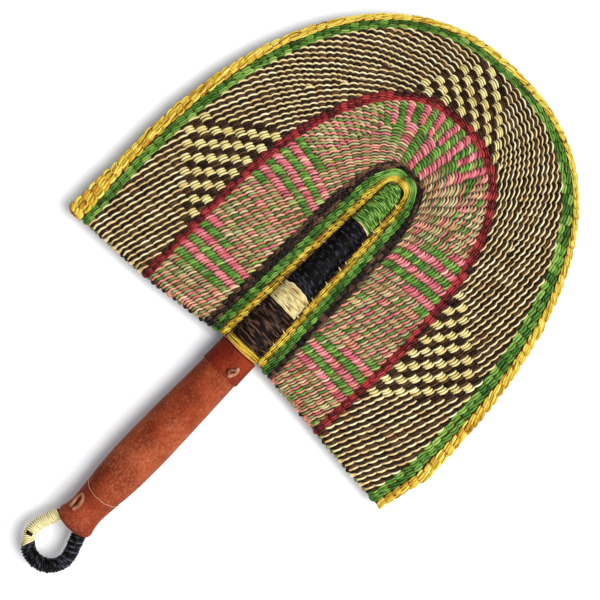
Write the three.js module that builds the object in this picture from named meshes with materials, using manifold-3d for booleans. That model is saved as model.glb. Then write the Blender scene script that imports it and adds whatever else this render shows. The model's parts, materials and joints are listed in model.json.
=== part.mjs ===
// A hand-woven straw fan with a leather-covered handle and a wrapped hanging loop.
// In the fan's own frame the foot of the spine is at the origin, +Y runs up the spine to the tip,
// the blade lies in the XY plane and +Z is its front. At the end the fan is set down on its grip,
// with the origin below the middle of its outline.
import * as THREE from "three";
import { mergeVertices } from "three/addons/utils/BufferGeometryUtils.js";
import Module from "manifold-3d";

const wasm = await Module();
wasm.setup();

// Clearances, in millimetres
const seatGap = 0.3; // between pieces that touch
const leastWindingGap = 0.4; // between two turns of one winding
const holeClearance = 0.45; // round a winding's ends where they go into the core
const mergeDistance = 1e-4;

// Spokes and the courses twined over them
const spokeWidth = 2.0;
const spokeThickness = 1.6;
const spokeCount = 37; // leaving the spine
const branchesBetween = 2; // stalks added in each gap, further out
const branchStart = 8; // from the dark courses to where they leave the spokes
const strandThickness = 1.5; // one layer of courses, in front of the spokes or behind them
const ridgeHeight = 0.35; // how far each row of a two-row band stands proud
const edgeDrop = 0.4; // how far a band is lower along its two edges
const edgeShare = 0.02; // of a field's width, taken up by each rounded edge
const stationsPerSide = 12;
const archCrowding = 0.32; // how much closer the stations lie round the arch
const endTurns = [0.25, 0.5, 0.75]; // stations round a band's end, as shares of the half turn

// Lines between the bands, from the spine outwards. For the left and right side, foot and waist
// are a line's half width at the hem and at its shoulder, where the arch begins. The arch is a
// superellipse that ends at the apex.
const lines = [
  { foot: [13.5, 13.5], waist: [7.6, 7.6], shoulder: [138, 138], apex: 149.5, power: [2, 2] },
  { foot: [18.5, 18.2], waist: [13.2, 13.1], shoulder: [126, 126], apex: 154.4, power: [2, 2] },
  { foot: [24.2, 24.0], waist: [19.3, 19.2], shoulder: [120, 120], apex: 158.9, power: [2.1, 2.1] },
  { foot: [30.2, 27.6], waist: [28.0, 26.8], shoulder: [78, 78], apex: 162.8, power: [2.5, 2.5] },
  { foot: [76.0, 69.6], waist: [75.8, 73.2], shoulder: [52, 60], apex: 203.8, power: [2.3, 2.52] },
  { foot: [80.8, 74.3], waist: [80.4, 78.3], shoulder: [52, 60], apex: 209, power: [2.38, 2.52] },
  { foot: [127.6, 124.8], waist: [128.9, 130.3], shoulder: [40, 24], apex: 247.2, power: [2.3, 2.5] },
  { foot: [132.8, 131.9], waist: [135.2, 138.1], shoulder: [40, 24], apex: 251.9, power: [2.3, 2.55] },
  { foot: [145.4, 137.2], waist: [143.3, 145.7], shoulder: [40, 24], apex: 256.6, power: [2.22, 2.45] },
];
const hemStart = [0.4, 1.9]; // height of the hem beside the spine, left and right
const hemDrop = [10.2, 12.4]; // how far it falls to the corners
const hemPower = [2.6, 1];
const straightShare = 0.3; // of a line's parameter, spent below the shoulder
const lineDivisions = 400; // for measuring along a line

// Plait round the rim
const plaitThickness = 6.6;
const plaitShoulders = [0.3, 0.75]; // where its section is high, as shares of the width
const plaitOuterHeight = 0.85; // of the outer shoulder, as a share of the inner one's
const plaitGrooveDepth = 2.5;
const spokeEndGap = 0.9; // from a spoke's end to the bottom of the groove
const plaitOverhang = [1.9, 0.2]; // how far its feet reach below the hem, left and right

// Spine
const spineFlatness = 0.78; // thickness over width
const spineTopShare = 0.82; // least width its rounded top is as thick as, over the width below
const footBindingTop = 5.9;
const brownWrapTop = 39;
const creamWrapTop = 56.5;
const blackWrapTop = 113;
const greenWrapTop = 147.4;
const wrapTube = 2.4; // diameter of one turn
const wrapPitch = 3.05;
const wrapSteps = 12;
const wrapSides = 5;
const wrapEndLength = 2.9;
const holeSides = 6;

// Handle: radius of the outside at stations along it
const leather = 1.2;
const gripTop = -0.6;
const collarTop = -0.1;
const collarLow = -18.4;
const lowerSeam = -130.5;
const handleEnd = -158.3;
const tuck = 5.5; // how far the grip leather runs under the lower collar
const seamRounding = 0.2; // how much thinner the grip gets at the lower seam
const upperCollarStations = [[collarTop, 14.1], [collarLow, 14.5]];
const gripStations = [
  [-22, 13.7], [-39, 14.1], [-65, 14.8], [-91, 15.1], [-112, 14.4], [-127, 13.2],
];
const lowerCollarStations = [
  [-130.5, 13.2], [-136.5, 12.2], [-143, 11.7], [-149.5, 12.6], [-153.6, 13.5], [-156.6, 12.0],
];
const endFaceRadius = 9;
const endWall = 1.5;
const handleSides = 20;
const coreSides = 12;
const coreSteps = [2, 1]; // length of the core's steps at the lower and upper collar
const coreTopShares = [0.4, 0.7, 1]; // stations up the spine's rounded top

// Hanging loop
const loopRadius = 14.8;
const loopCentre = [-1.9, -175.2];
const loopExits = [-11.4, 7.7]; // where its two limbs cross the handle's end
const loopRoots = [-8.6, 5.2];
const loopRootDepth = 10;
const loopCoreRadius = 2.2;
const loopCoreSides = 8;
const loopCoreSteps = 30;
const loopBendPoints = 6; // round the half turn
const loopSteps = 8; // of one turn of its windings
const creamLoopTube = 1.7;
const creamLoopRadius = 3.4; // of the turns' centre line
const creamLoopTurns = 9;
const blackLoopTube = 1.6;
const blackLoopRadius = 4.2;
const blackLoopTurns = 15;
const creamShare = 0.36; // of the loop's length outside the handle
const loopWrapStarts = [1.9, 2.85]; // from the handle's end to the windings, left and right

// Laces: the angle round the handle from its front, the height along it, and how far the lace is
// lifted off the leather
const laceRadius = 1.15;
const laceSides = 6;
const laceSteps = 12;
const upperLacePlaces = [
  [0.5, -8.6, 0], [0.53, -10.4, 0.5], [0.47, -13.4, 0.9], [0.38, -15.9, 0.5], [0.31, -17.0, 0],
];
const lowerLacePlaces = [
  [-0.8, -147.8, 0], [-0.83, -144.6, 0.3], [-0.82, -140.8, 0.4], [-0.66, -137.4, 0.4],
  [-0.47, -140.0, 0.4], [-0.42, -144.2, 0.3], [-0.5, -147.8, 0],
];

const bladeHalf = spokeThickness / 2 + seatGap + strandThickness;
const slotHalf = spokeThickness / 2 + seatGap;

// Solids and cuts
function solidOf(geometry) {
  const bare = geometry.clone();
  for (const name of Object.keys(bare.attributes)) if (name !== "position") bare.deleteAttribute(name);
  const merged = mergeVertices(bare, mergeDistance);
  return new wasm.Manifold(new wasm.Mesh({
    numProp: 3,
    vertProperties: new Float32Array(merged.attributes.position.array),
    triVerts: new Uint32Array(merged.index.array),
  }));
}

function geometryOf(solid) {
  const mesh = solid.getMesh();
  const geometry = new THREE.BufferGeometry();
  geometry.setAttribute("position", new THREE.BufferAttribute(mesh.vertProperties, 3));
  geometry.setIndex(new THREE.BufferAttribute(mesh.triVerts, 1));
  geometry.computeVertexNormals();
  return geometry;
}

function cut(geometry, tools) {
  return geometryOf(tools.reduce((body, tool) => body.subtract(solidOf(tool)), solidOf(geometry)));
}

// Skins the rings in order, and closes the body with a cap at each end or back onto its first ring.
function loft(rings, closed = false) {
  const count = rings[0].length;
  const positions = rings.flat().flatMap((p) => [p.x, p.y, p.z]);
  const index = [];
  const last = closed ? rings.length : rings.length - 1;
  for (let i = 0; i < last; i += 1) {
    const here = i * count;
    const next = ((i + 1) % rings.length) * count;
    for (let j = 0; j < count; j += 1) {
      const k = (j + 1) % count;
      index.push(here + j, here + k, next + k, here + j, next + k, next + j);
    }
  }
  if (!closed) {
    capRing(rings[0], 0, index, true);
    capRing(rings.at(-1), (rings.length - 1) * count, index, false);
  }
  if (signedVolume(positions, index) < 0) index.reverse();
  const geometry = new THREE.BufferGeometry();
  geometry.setAttribute("position", new THREE.Float32BufferAttribute(positions, 3));
  geometry.setIndex(index);
  geometry.computeVertexNormals();
  return geometry;
}

// Six times the volume, negative where the faces point inwards.
function signedVolume(positions, index) {
  const corner = (i) => new THREE.Vector3().fromArray(positions, 3 * index[i]);
  let sum = 0;
  for (let i = 0; i < index.length; i += 3) sum += corner(i).dot(corner(i + 1).cross(corner(i + 2)));
  return sum;
}

// Triangles across a ring, which may be hollowed like the plait's section.
function capRing(ring, start, index, facesBack) {
  const normal = new THREE.Vector3();
  for (let j = 0; j < ring.length; j += 1) {
    const a = ring[j];
    const b = ring[(j + 1) % ring.length];
    normal.add(new THREE.Vector3().crossVectors(a, b));
  }
  normal.normalize();
  const across = ring[1].clone().sub(ring[0]);
  across.addScaledVector(normal, -across.dot(normal)).normalize();
  const up = new THREE.Vector3().crossVectors(normal, across);
  const flat = ring.map((p) => new THREE.Vector2(p.dot(across), p.dot(up)));
  for (const [a, b, c] of THREE.ShapeUtils.triangulateShape(flat, [])) {
    if (facesBack) index.push(start + a, start + c, start + b);
    else index.push(start + a, start + b, start + c);
  }
}

const longestMitre = 0.5; // cosine of the sharpest half bend that is fully mitred

// A tube of flat-sided section along points, mitred at each of them. A corner of the section
// points along outward[i].
function tube(points, outward, radius, sides) {
  const rings = points.map((p, i) => {
    const before = p.clone().sub(points[Math.max(i - 1, 0)]).normalize();
    const after = points[Math.min(i + 1, points.length - 1)].clone().sub(p).normalize();
    if (i === 0) before.copy(after);
    if (i === points.length - 1) after.copy(before);
    const along = before.clone().add(after).normalize();
    const u = outward[i].clone().addScaledVector(along, -outward[i].dot(along)).normalize();
    const v = new THREE.Vector3().crossVectors(along, u);
    const bend = after.clone().sub(before);
    const stretch = 1 / Math.max(along.dot(after), longestMitre);
    if (bend.length() > mergeDistance) bend.normalize();
    const ring = [];
    for (let j = 0; j < sides; j += 1) {
      const angle = (2 * Math.PI * j) / sides;
      const offset = u.clone().multiplyScalar(Math.cos(angle)).addScaledVector(v, Math.sin(angle));
      offset.addScaledVector(bend, (stretch - 1) * offset.dot(bend)).multiplyScalar(radius);
      ring.push(p.clone().add(offset));
    }
    return ring;
  });
  return loft(rings);
}

function tubeAlong(curve, steps, radius, sides) {
  const points = curve.getSpacedPoints(steps);
  return tube(points, points.map(() => new THREE.Vector3(0, 0, 1)), radius, sides);
}

// The lines between bands
const sideSign = [-1, 1];

function hemHeight(side, halfWidth) {
  const first = lines[0].foot[side];
  const share = (halfWidth - first) / (lines.at(-1).foot[side] - first);
  return hemStart[side] - hemDrop[side] * (1 - (1 - share) ** hemPower[side]);
}

// One side of a line between bands, from its foot at the hem to its apex.
class HalfLine extends THREE.Curve {
  constructor(line, side) {
    super();
    this.line = line;
    this.side = side;
    this.footHeight = hemHeight(side, line.foot[side]) + bladeHalf;
    this.arcLengthDivisions = lineDivisions;
  }

  getPoint(t, target = new THREE.Vector3()) {
    const { line, side, footHeight } = this;
    const shoulder = line.shoulder[side];
    if (t < straightShare) {
      const share = t / straightShare;
      const half = THREE.MathUtils.lerp(line.foot[side], line.waist[side], share);
      return target.set(sideSign[side] * half, THREE.MathUtils.lerp(footHeight, shoulder, share), 0);
    }
    const angle = ((t - straightShare) / (1 - straightShare)) * (Math.PI / 2);
    const power = 2 / line.power[side];
    return target.set(
      sideSign[side] * line.waist[side] * Math.max(Math.cos(angle), 0) ** power,
      shoulder + (line.apex - shoulder) * Math.sin(angle) ** power,
      0,
    );
  }
}

const halfLines = lines.map((line) => [new HalfLine(line, 0), new HalfLine(line, 1)]);

// A point on line k. share runs from 0 at the left foot, through 0.5 at the apex, to 1 at the right
// foot, evenly along each side, and starts and ends inset from the feet.
function onLine(k, share, inset = 0) {
  const side = share < 0.5 ? 0 : 1;
  const curve = halfLines[k][side];
  const climb = side === 0 ? share * 2 : (1 - share) * 2;
  const start = inset / curve.getLength();
  return curve.getPointAt(Math.min(start + climb * (1 - start), 1));
}

// Stations along a band lie closer together round the arch than down its sides.
function stationShares() {
  const climbs = [];
  for (let i = 0; i <= stationsPerSide; i += 1) {
    const even = i / stationsPerSide;
    climbs.push(even * (1 + archCrowding * (1 - even)));
  }
  const left = climbs.map((climb) => climb / 2);
  return [...left, ...left.slice(0, -1).reverse().map((share) => 1 - share)];
}
const shares = stationShares();

// A band of courses between lines k and k + 1. Its rows run up over the front of the spokes, turn
// round the last one and come back behind them, so the spokes lie in a slot right through it.
// profile holds [share of the width, height above the slot's middle] from edge to edge.
function courseBand(k, profile) {
  const down = new THREE.Vector3(0, -1, 0);
  const front = new THREE.Vector3(0, 0, 1);
  const ringAt = (share, away) => {
    const inner = onLine(k, share);
    const across = onLine(k + 1, share).sub(inner);
    const width = across.length() - seatGap;
    across.normalize();
    const at = (part, height) => inner.clone()
      .addScaledVector(across, seatGap / 2 + part * width)
      .addScaledVector(away, height);
    return [
      ...profile.map(([part, height]) => at(part, height)),
      at(1, slotHalf),
      at(0, slotHalf),
    ];
  };
  const turns = endTurns.map((turn) => turn * Math.PI);
  const roundEnd = (share, angles) => angles.map((angle) =>
    ringAt(share, front.clone().multiplyScalar(Math.cos(angle)).addScaledVector(down, Math.sin(angle))));
  const back = front.clone().negate();
  return loft([
    ...shares.map((share) => ringAt(share, front)),
    ...roundEnd(1, turns),
    ...[...shares].reverse().map((share) => ringAt(share, back)),
    ...roundEnd(0, [...turns].reverse()),
  ], true);
}

const twoRows = [
  [0, bladeHalf - edgeDrop],
  [0.25, bladeHalf + ridgeHeight],
  [0.5, bladeHalf - edgeDrop / 2],
  [0.75, bladeHalf + ridgeHeight],
  [1, bladeHalf - edgeDrop],
];
const field = [
  [0, bladeHalf - edgeDrop],
  [edgeShare, bladeHalf],
  [1 - edgeShare, bladeHalf],
  [1, bladeHalf - edgeDrop],
];

// The plait clasps the spokes' ends in a groove along its inner side.
function edgePlait() {
  const k = lines.length - 2;
  const half = plaitThickness / 2;
  const [near, far] = plaitShoulders;
  const outer = half * plaitOuterHeight;
  const section = (width) => [
    [0, slotHalf], [0, bladeHalf], [width * near, half], [width * far, outer], [width, 0],
    [width * far, -outer], [width * near, -half], [0, -bladeHalf], [0, -slotHalf],
    [plaitGrooveDepth, -slotHalf], [plaitGrooveDepth, slotHalf],
  ];
  const ringAt = (share, below = 0) => {
    const inner = onLine(k, share);
    const across = onLine(k + 1, share).sub(inner);
    const width = across.length() - seatGap / 2;
    across.normalize();
    inner.addScaledVector(across, seatGap / 2);
    return section(width).map(([out, height]) =>
      inner.clone().addScaledVector(across, out).add(new THREE.Vector3(0, -below, height)));
  };
  return loft([
    ringAt(shares[0], bladeHalf + plaitOverhang[0]),
    ...shares.map((share) => ringAt(share)),
    ringAt(shares.at(-1), bladeHalf + plaitOverhang[1]),
  ]);
}

// A flat stalk along points in the blade's plane.
function stalk(points) {
  return loft(points.map((p, i) => {
    const along = points[Math.min(i + 1, points.length - 1)].clone().sub(points[Math.max(i - 1, 0)]);
    const side = new THREE.Vector3(-along.y, along.x, 0).normalize().multiplyScalar(spokeWidth / 2);
    const up = new THREE.Vector3(0, 0, spokeThickness / 2);
    return [
      p.clone().sub(side).sub(up),
      p.clone().add(side).sub(up),
      p.clone().add(side).add(up),
      p.clone().sub(side).add(up),
    ];
  }));
}

// How far from the innermost line a spoke starts, so that no corner of its slanting end passes it.
function rootShift(share, inset, end) {
  const step = 1 / lineDivisions;
  const start = onLine(0, share, inset);
  const low = onLine(0, Math.max(share - step, 0), inset);
  const line = onLine(0, Math.min(share + step, 1), inset).sub(low).normalize();
  const direction = end.clone().sub(start).normalize();
  const lean = Math.abs(direction.dot(line));
  return (seatGap + (spokeWidth / 2) * lean) / Math.sqrt(1 - lean * lean);
}

// A spoke from the spine to the rim. Past the dark courses a stalk is laid in beside it on each
// side and leaves it towards the rim. The spokes along the hem bend with it.
function spoke(i) {
  const rim = lines.length - 2;
  const inset = spokeWidth / 2 + seatGap;
  const gaps = spokeCount - 1;
  const towards = (a, b, distance) => a.clone().addScaledVector(b.clone().sub(a).normalize(), distance);
  const intoRim = (points) => {
    const last = points.at(-1);
    const before = points.at(-2);
    points[points.length - 1] = towards(last, before, spokeEndGap - plaitGrooveDepth);
    return points;
  };
  const onHem = i === 0 || i === gaps;
  const bandEdges = lines.keys().toArray().slice(2, rim);
  const crossed = onHem ? [0, ...bandEdges, rim] : [0, rim];
  const main = intoRim(crossed.map((k) => onLine(k, i / gaps, inset)));
  main[0] = towards(main[0], main[1], rootShift(i / gaps, inset, main[1]));
  const root = onHem
    ? towards(main[2], main[3], branchStart)
    : towards(main[0], main[1], main[0].distanceTo(onLine(3, i / gaps, inset)) + branchStart);
  const branches = [];
  for (const step of [-1, 1]) {
    const share = (i + step / (branchesBetween + 1)) / gaps;
    if (share > 0 && share < 1) branches.push(stalk(intoRim([root, onLine(rim, share, inset)])));
  }
  return geometryOf(branches.reduce((body, branch) => body.add(solidOf(branch)), solidOf(stalk(main))));
}

// Spine
function spineHalfWidth(y) {
  const { foot, waist, shoulder: [shoulder], apex } = lines[0];
  if (y < shoulder) return THREE.MathUtils.lerp(foot[0], waist[0], Math.max(y, 0) / shoulder) - seatGap;
  const rise = Math.min((y - shoulder) / (apex - shoulder), 1);
  return waist[0] * Math.sqrt(1 - rise * rise) - seatGap;
}

function spineHalfThickness(y) {
  const { waist, shoulder: [shoulder] } = lines[0];
  const narrow = (waist[0] - seatGap) * spineTopShare;
  return spineFlatness * Math.max(spineHalfWidth(y), y > shoulder ? narrow : 0);
}

const wrapDepth = wrapTube + seatGap;

// A point at an angle round the spine on the centre line of its turns. The turn's upper edge, where
// the spine is narrower, stays inside it too.
function roundSpine(y, angle) {
  const upper = y + wrapTube / 2;
  return new THREE.Vector3(
    (spineHalfWidth(upper) - wrapTube / 2) * Math.sin(angle),
    y,
    (spineHalfThickness(upper) - wrapTube / 2) * Math.cos(angle),
  );
}

// The least gap between turns of a winding, measured between points of its centre line that lie
// at least half a turn apart.
function windingGap(points, steps, diameter) {
  let least = Infinity;
  for (let i = 0; i < points.length; i += 1)
    for (let j = i + Math.ceil(steps / 2); j < points.length; j += 1)
      least = Math.min(least, points[i].distanceTo(points[j]));
  return least - diameter;
}

// One unbroken tube wound on centre points, with each end turned straight in to the core.
function winding(name, turns, steps, diameter, pointAt, centreAt) {
  const count = turns * steps;
  const points = [];
  for (let i = 0; i <= count; i += 1) points.push(pointAt(i / count, (2 * Math.PI * i) / steps));
  const gap = windingGap(points, steps, diameter);
  console.log(`${name}: ${turns} turns, least gap ${gap.toFixed(2)} mm`);
  if (gap < leastWindingGap) console.log(`${name}: the turns lie closer than ${leastWindingGap} mm`);
  const outward = points.map((p, i) => p.clone().sub(centreAt(i / count)).normalize());
  const inAt = (i) => points[i].clone().addScaledVector(outward[i], -wrapEndLength);
  const ends = [inAt(0), inAt(count)];
  const along = [points[1].clone().sub(points[0]), points[count].clone().sub(points[count - 1])];
  const path = [ends[0], ...points, ends[1]];
  const facing = [along[0].negate(), ...outward, along[1]];
  return {
    geometry: tube(path, facing, diameter / 2, wrapSides),
    holes: [0, count].map((i) => {
      const deeper = points[i].clone().addScaledVector(outward[i], -wrapEndLength - seatGap);
      return tube([deeper, points[i]], [along[0], along[0]], diameter / 2 + holeClearance, holeSides);
    }),
  };
}

function spineWrap(name, bottom, top) {
  const low = bottom + wrapDepth / 2;
  const high = top - wrapDepth / 2;
  const turns = Math.max(Math.floor((high - low) / wrapPitch), 1);
  return winding(
    name, turns, wrapSteps, wrapTube,
    (share, angle) => roundSpine(low + share * (high - low), angle + Math.PI),
    (share) => new THREE.Vector3(0, low + share * (high - low), 0),
  );
}

// Handle leathers, turned round the handle's axis
function sleeve(outside, thickness) {
  const inside = outside.map(([y, r]) => [y, r - thickness]).reverse();
  const profile = [...outside, ...inside, outside[0]].map(([y, r]) => new THREE.Vector2(r, y));
  return new THREE.LatheGeometry(profile, handleSides);
}

const underCollar = upperCollarStations[0][1] - leather - seatGap;
const underSeam = lowerCollarStations[1][1] - leather - seatGap;
const gripOutside = [
  [lowerSeam - tuck, underSeam],
  [lowerSeam - seatGap, underSeam],
  [lowerSeam + seatGap, gripStations.at(-1)[1] - seamRounding],
  ...[...gripStations].reverse(),
  [collarLow - seatGap, gripStations[0][1]],
  [collarLow + seatGap, underCollar],
  [gripTop, underCollar],
];

function upperCollar() {
  return sleeve([...upperCollarStations].reverse(), leather);
}

function lowerCollar() {
  const outside = [...lowerCollarStations].reverse();
  const inside = lowerCollarStations.map(([y, r]) => [y, r - leather]);
  const profile = [
    [handleEnd, 0], [handleEnd, endFaceRadius], ...outside,
    ...inside, [handleEnd + endWall, endFaceRadius - leather / 2], [handleEnd + endWall, 0],
  ];
  const points = profile.map(([y, r]) => new THREE.Vector2(r, y));
  return new THREE.LatheGeometry(points, handleSides);
}

// The core follows the leathers' inside down the handle, and flattens into the spine.
function coreBundle() {
  const clear = leather + seatGap;
  const stations = [
    [handleEnd + endWall + seatGap, endFaceRadius - leather],
    ...lowerCollarStations.slice(3).reverse().map(([y, r]) => [y, r - clear]),
    [lowerSeam - tuck - coreSteps[0], underSeam - clear],
    [lowerSeam, underSeam - clear],
    ...[...gripStations].reverse().map(([y, r]) => [y, r - clear]),
    [collarLow - coreSteps[1], underCollar - clear],
    [collarTop - coreSteps[1], underCollar - clear],
  ];
  const rings = stations.map(([y, r]) => ringOf(y, r, r));
  const { shoulder: [shoulder] } = lines[0];
  const climbs = [0, shoulder / 2, shoulder - wrapTube];
  for (const share of coreTopShares) climbs.push(THREE.MathUtils.lerp(shoulder, greenWrapTop, share));
  for (const y of climbs) {
    const upper = y + wrapTube;
    rings.push(ringOf(y, spineHalfWidth(upper) - wrapDepth, spineHalfThickness(upper) - wrapDepth));
  }
  return loft(rings);
}

function ringOf(y, halfWidth, halfThickness) {
  const ring = [];
  for (let j = 0; j < coreSides; j += 1) {
    const angle = (2 * Math.PI * j) / coreSides;
    ring.push(new THREE.Vector3(halfWidth * Math.sin(angle), y, halfThickness * Math.cos(angle)));
  }
  return ring;
}

// Hanging loop
function loopCurve() {
  const [cx, cy] = loopCentre;
  const points = [
    new THREE.Vector3(loopRoots[0], handleEnd + loopRootDepth, 0),
    new THREE.Vector3(loopExits[0], handleEnd, 0),
  ];
  for (let i = 0; i <= loopBendPoints; i += 1) {
    const angle = Math.PI + (Math.PI * i) / loopBendPoints;
    points.push(new THREE.Vector3(cx + loopRadius * Math.cos(angle), cy + loopRadius * Math.sin(angle), 0));
  }
  points.push(new THREE.Vector3(loopExits[1], handleEnd, 0));
  points.push(new THREE.Vector3(loopRoots[1], handleEnd + loopRootDepth, 0));
  return new THREE.CatmullRomCurve3(points, false, "centripetal");
}

// The share of a curve's length at which it crosses a height, on its way down or up.
function shareAtHeight(curve, height, from, to) {
  let low = from;
  let high = to;
  const falling = curve.getPointAt(from).y > curve.getPointAt(to).y;
  while ((high - low) * curve.getLength() > mergeDistance) {
    const middle = (low + high) / 2;
    if ((curve.getPointAt(middle).y > height) === falling) low = middle;
    else high = middle;
  }
  return (low + high) / 2;
}

function loopWrap(name, curve, from, to, radius, diameter, turns) {
  const shareOf = (share) => from + share * (to - from);
  return winding(
    name, turns, loopSteps, diameter,
    (share, angle) => {
      const at = curve.getPointAt(shareOf(share));
      const along = curve.getTangentAt(shareOf(share));
      const side = new THREE.Vector3(along.y, -along.x, 0);
      return at.addScaledVector(side, radius * Math.sin(angle + Math.PI))
        .add(new THREE.Vector3(0, 0, radius * Math.cos(angle + Math.PI)));
    },
    (share) => curve.getPointAt(shareOf(share)),
  );
}

// Laces
function radiusAt(stations, y) {
  const i = Math.max(stations.findIndex(([height]) => height <= y), 1);
  const [[y0, r0], [y1, r1]] = [stations[i - 1], stations[i]];
  return THREE.MathUtils.mapLinear(y, y0, y1, r0, r1);
}

// A lace comes out of one hole in its collar, lies on the leather and goes back in.
function laceCurve(places, collar) {
  const place = (angle, y, r) => new THREE.Vector3(r * Math.sin(angle), y, r * Math.cos(angle));
  const hole = ([angle, y]) => place(angle, y, radiusAt(collar, y) - leather / 2);
  return new THREE.CatmullRomCurve3([
    hole(places[0]),
    ...places.map(([angle, y, lift]) =>
      place(angle, y, radiusAt(collar, y) + laceRadius + seatGap + lift)),
    hole(places.at(-1)),
  ], false, "centripetal");
}

function laceTube(curve, clearance = 0) {
  return tubeAlong(curve, laceSteps, laceRadius + clearance, laceSides);
}

const materials = {
  stalk: { color: 0xb79b5e, roughness: 0.8 },
  leather: { color: 0xa4452c, roughness: 0.7 },
  darkLeather: { color: 0x8c321e, roughness: 0.6 },
  lace: { color: 0xc09070, roughness: 0.7 },
  yellow: { color: 0xe8bc3c, roughness: 0.6 },
  green: { color: 0x4a9440, roughness: 0.6 },
  brown: { color: 0x3a2822, roughness: 0.65 },
  cream: { color: 0xe6d29c, roughness: 0.65 },
  black: { color: 0x14141e, roughness: 0.6 },
  pink: { color: 0xd98a88, roughness: 0.65 },
  crimson: { color: 0x8a1c30, roughness: 0.6 },
  twoTone: { color: 0x9c875e, roughness: 0.65 },
};
for (const [name, values] of Object.entries(materials))
  materials[name] = new THREE.MeshStandardMaterial({ ...values, metalness: 0 });

const fan = new THREE.Group();

function add(name, geometry, material) {
  const mesh = new THREE.Mesh(geometry, material);
  mesh.name = name;
  fan.add(mesh);
}

const wraps = [
  ["foot_binding", collarTop + seatGap, footBindingTop, "yellow"],
  ["brown_spine_wrap", footBindingTop, brownWrapTop, "brown"],
  ["cream_spine_wrap", brownWrapTop, creamWrapTop, "cream"],
  ["black_spine_wrap", creamWrapTop, blackWrapTop, "black"],
  ["green_spine_wrap", blackWrapTop, greenWrapTop, "green"],
].map(([name, bottom, top, colour]) => ({ name, colour, ...spineWrap(name, bottom, top) }));
for (const { name, colour, geometry } of wraps) add(name, geometry, materials[colour]);

const loop = loopCurve();
const exitShares = [shareAtHeight(loop, handleEnd, 0, 0.5), shareAtHeight(loop, handleEnd, 0.5, 1)];
const loopMargin = (blackLoopTube + seatGap) / 2 / loop.getLength();
const [leftStart, rightStart] = loopWrapStarts.map((distance) => distance / loop.getLength());
const colourChange = exitShares[0] + creamShare * (exitShares[1] - exitShares[0]);
const loopWraps = [
  ["cream_loop_wrap", exitShares[0] + leftStart, colourChange - loopMargin,
    creamLoopRadius, creamLoopTube, creamLoopTurns, "cream"],
  ["black_loop_wrap", colourChange + loopMargin, exitShares[1] - rightStart,
    blackLoopRadius, blackLoopTube, blackLoopTurns, "black"],
].map(([name, from, to, radius, diameter, turns, colour]) =>
  ({ name, colour, ...loopWrap(name, loop, from, to, radius, diameter, turns) }));
for (const { name, colour, geometry } of loopWraps) add(name, geometry, materials[colour]);

const loopTube = (clearance) => tubeAlong(loop, loopCoreSteps, loopCoreRadius + clearance, loopCoreSides);
add("loop_core", cut(loopTube(0), loopWraps.flatMap((w) => w.holes)), materials.stalk);

const upperLace = laceCurve(upperLacePlaces, upperCollarStations);
const lowerLace = laceCurve(lowerLacePlaces, lowerCollarStations);
add("upper_lace", laceTube(upperLace), materials.lace);
add("lower_lace", laceTube(lowerLace), materials.lace);

const coreHoles = [loopTube(seatGap), ...wraps.flatMap((w) => w.holes)];
add("core_bundle", cut(coreBundle(), coreHoles), materials.stalk);
add("grip_leather", sleeve(gripOutside, leather), materials.leather);
add("upper_collar", cut(upperCollar(), [laceTube(upperLace, seatGap)]), materials.darkLeather);
const lowerHoles = [loopTube(seatGap), laceTube(lowerLace, seatGap)];
add("lower_collar", cut(lowerCollar(), lowerHoles), materials.leather);
for (let i = 0; i < spokeCount; i += 1)
  add(`spoke_${String(i + 1).padStart(2, "0")}`, spoke(i), materials.stalk);
add("inner_yellow_courses", courseBand(0, twoRows), materials.yellow);
add("inner_green_courses", courseBand(1, twoRows), materials.green);
add("dark_brown_courses", courseBand(2, twoRows), materials.brown);
add("pink_green_field", courseBand(3, field), materials.pink);
add("crimson_courses", courseBand(4, twoRows), materials.crimson);
add("cream_brown_field", courseBand(5, field), materials.twoTone);
add("outer_green_courses", courseBand(6, twoRows), materials.green);
add("yellow_edge_plait", edgePlait(), materials.yellow);

// Set down on the grip, over the middle of the outline
const gripRadius = Math.max(...gripStations.map(([, r]) => r));
const rim = lines.at(-1);
const [leftReach, rightReach] = rim.foot.map((foot, side) => Math.max(foot, rim.waist[side]));
const lowEnd = loopCentre[1] - loopRadius - blackLoopRadius - blackLoopTube / 2;
fan.position.set((leftReach - rightReach) / 2, -(rim.apex + lowEnd) / 2, gripRadius);

const part = new THREE.Group();
part.add(fan);

export default part;
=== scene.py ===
# A hand-woven straw fan with a leather-covered handle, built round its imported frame.
# Lengths are in millimetres in the fan's own frame: its origin is the foot of the spine, x runs to
# the right of it, y up to the tip, and z out of the blade's front. placed() takes them to the packed
# part's frame, in metres.
import json
import math
from collections import namedtuple

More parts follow.
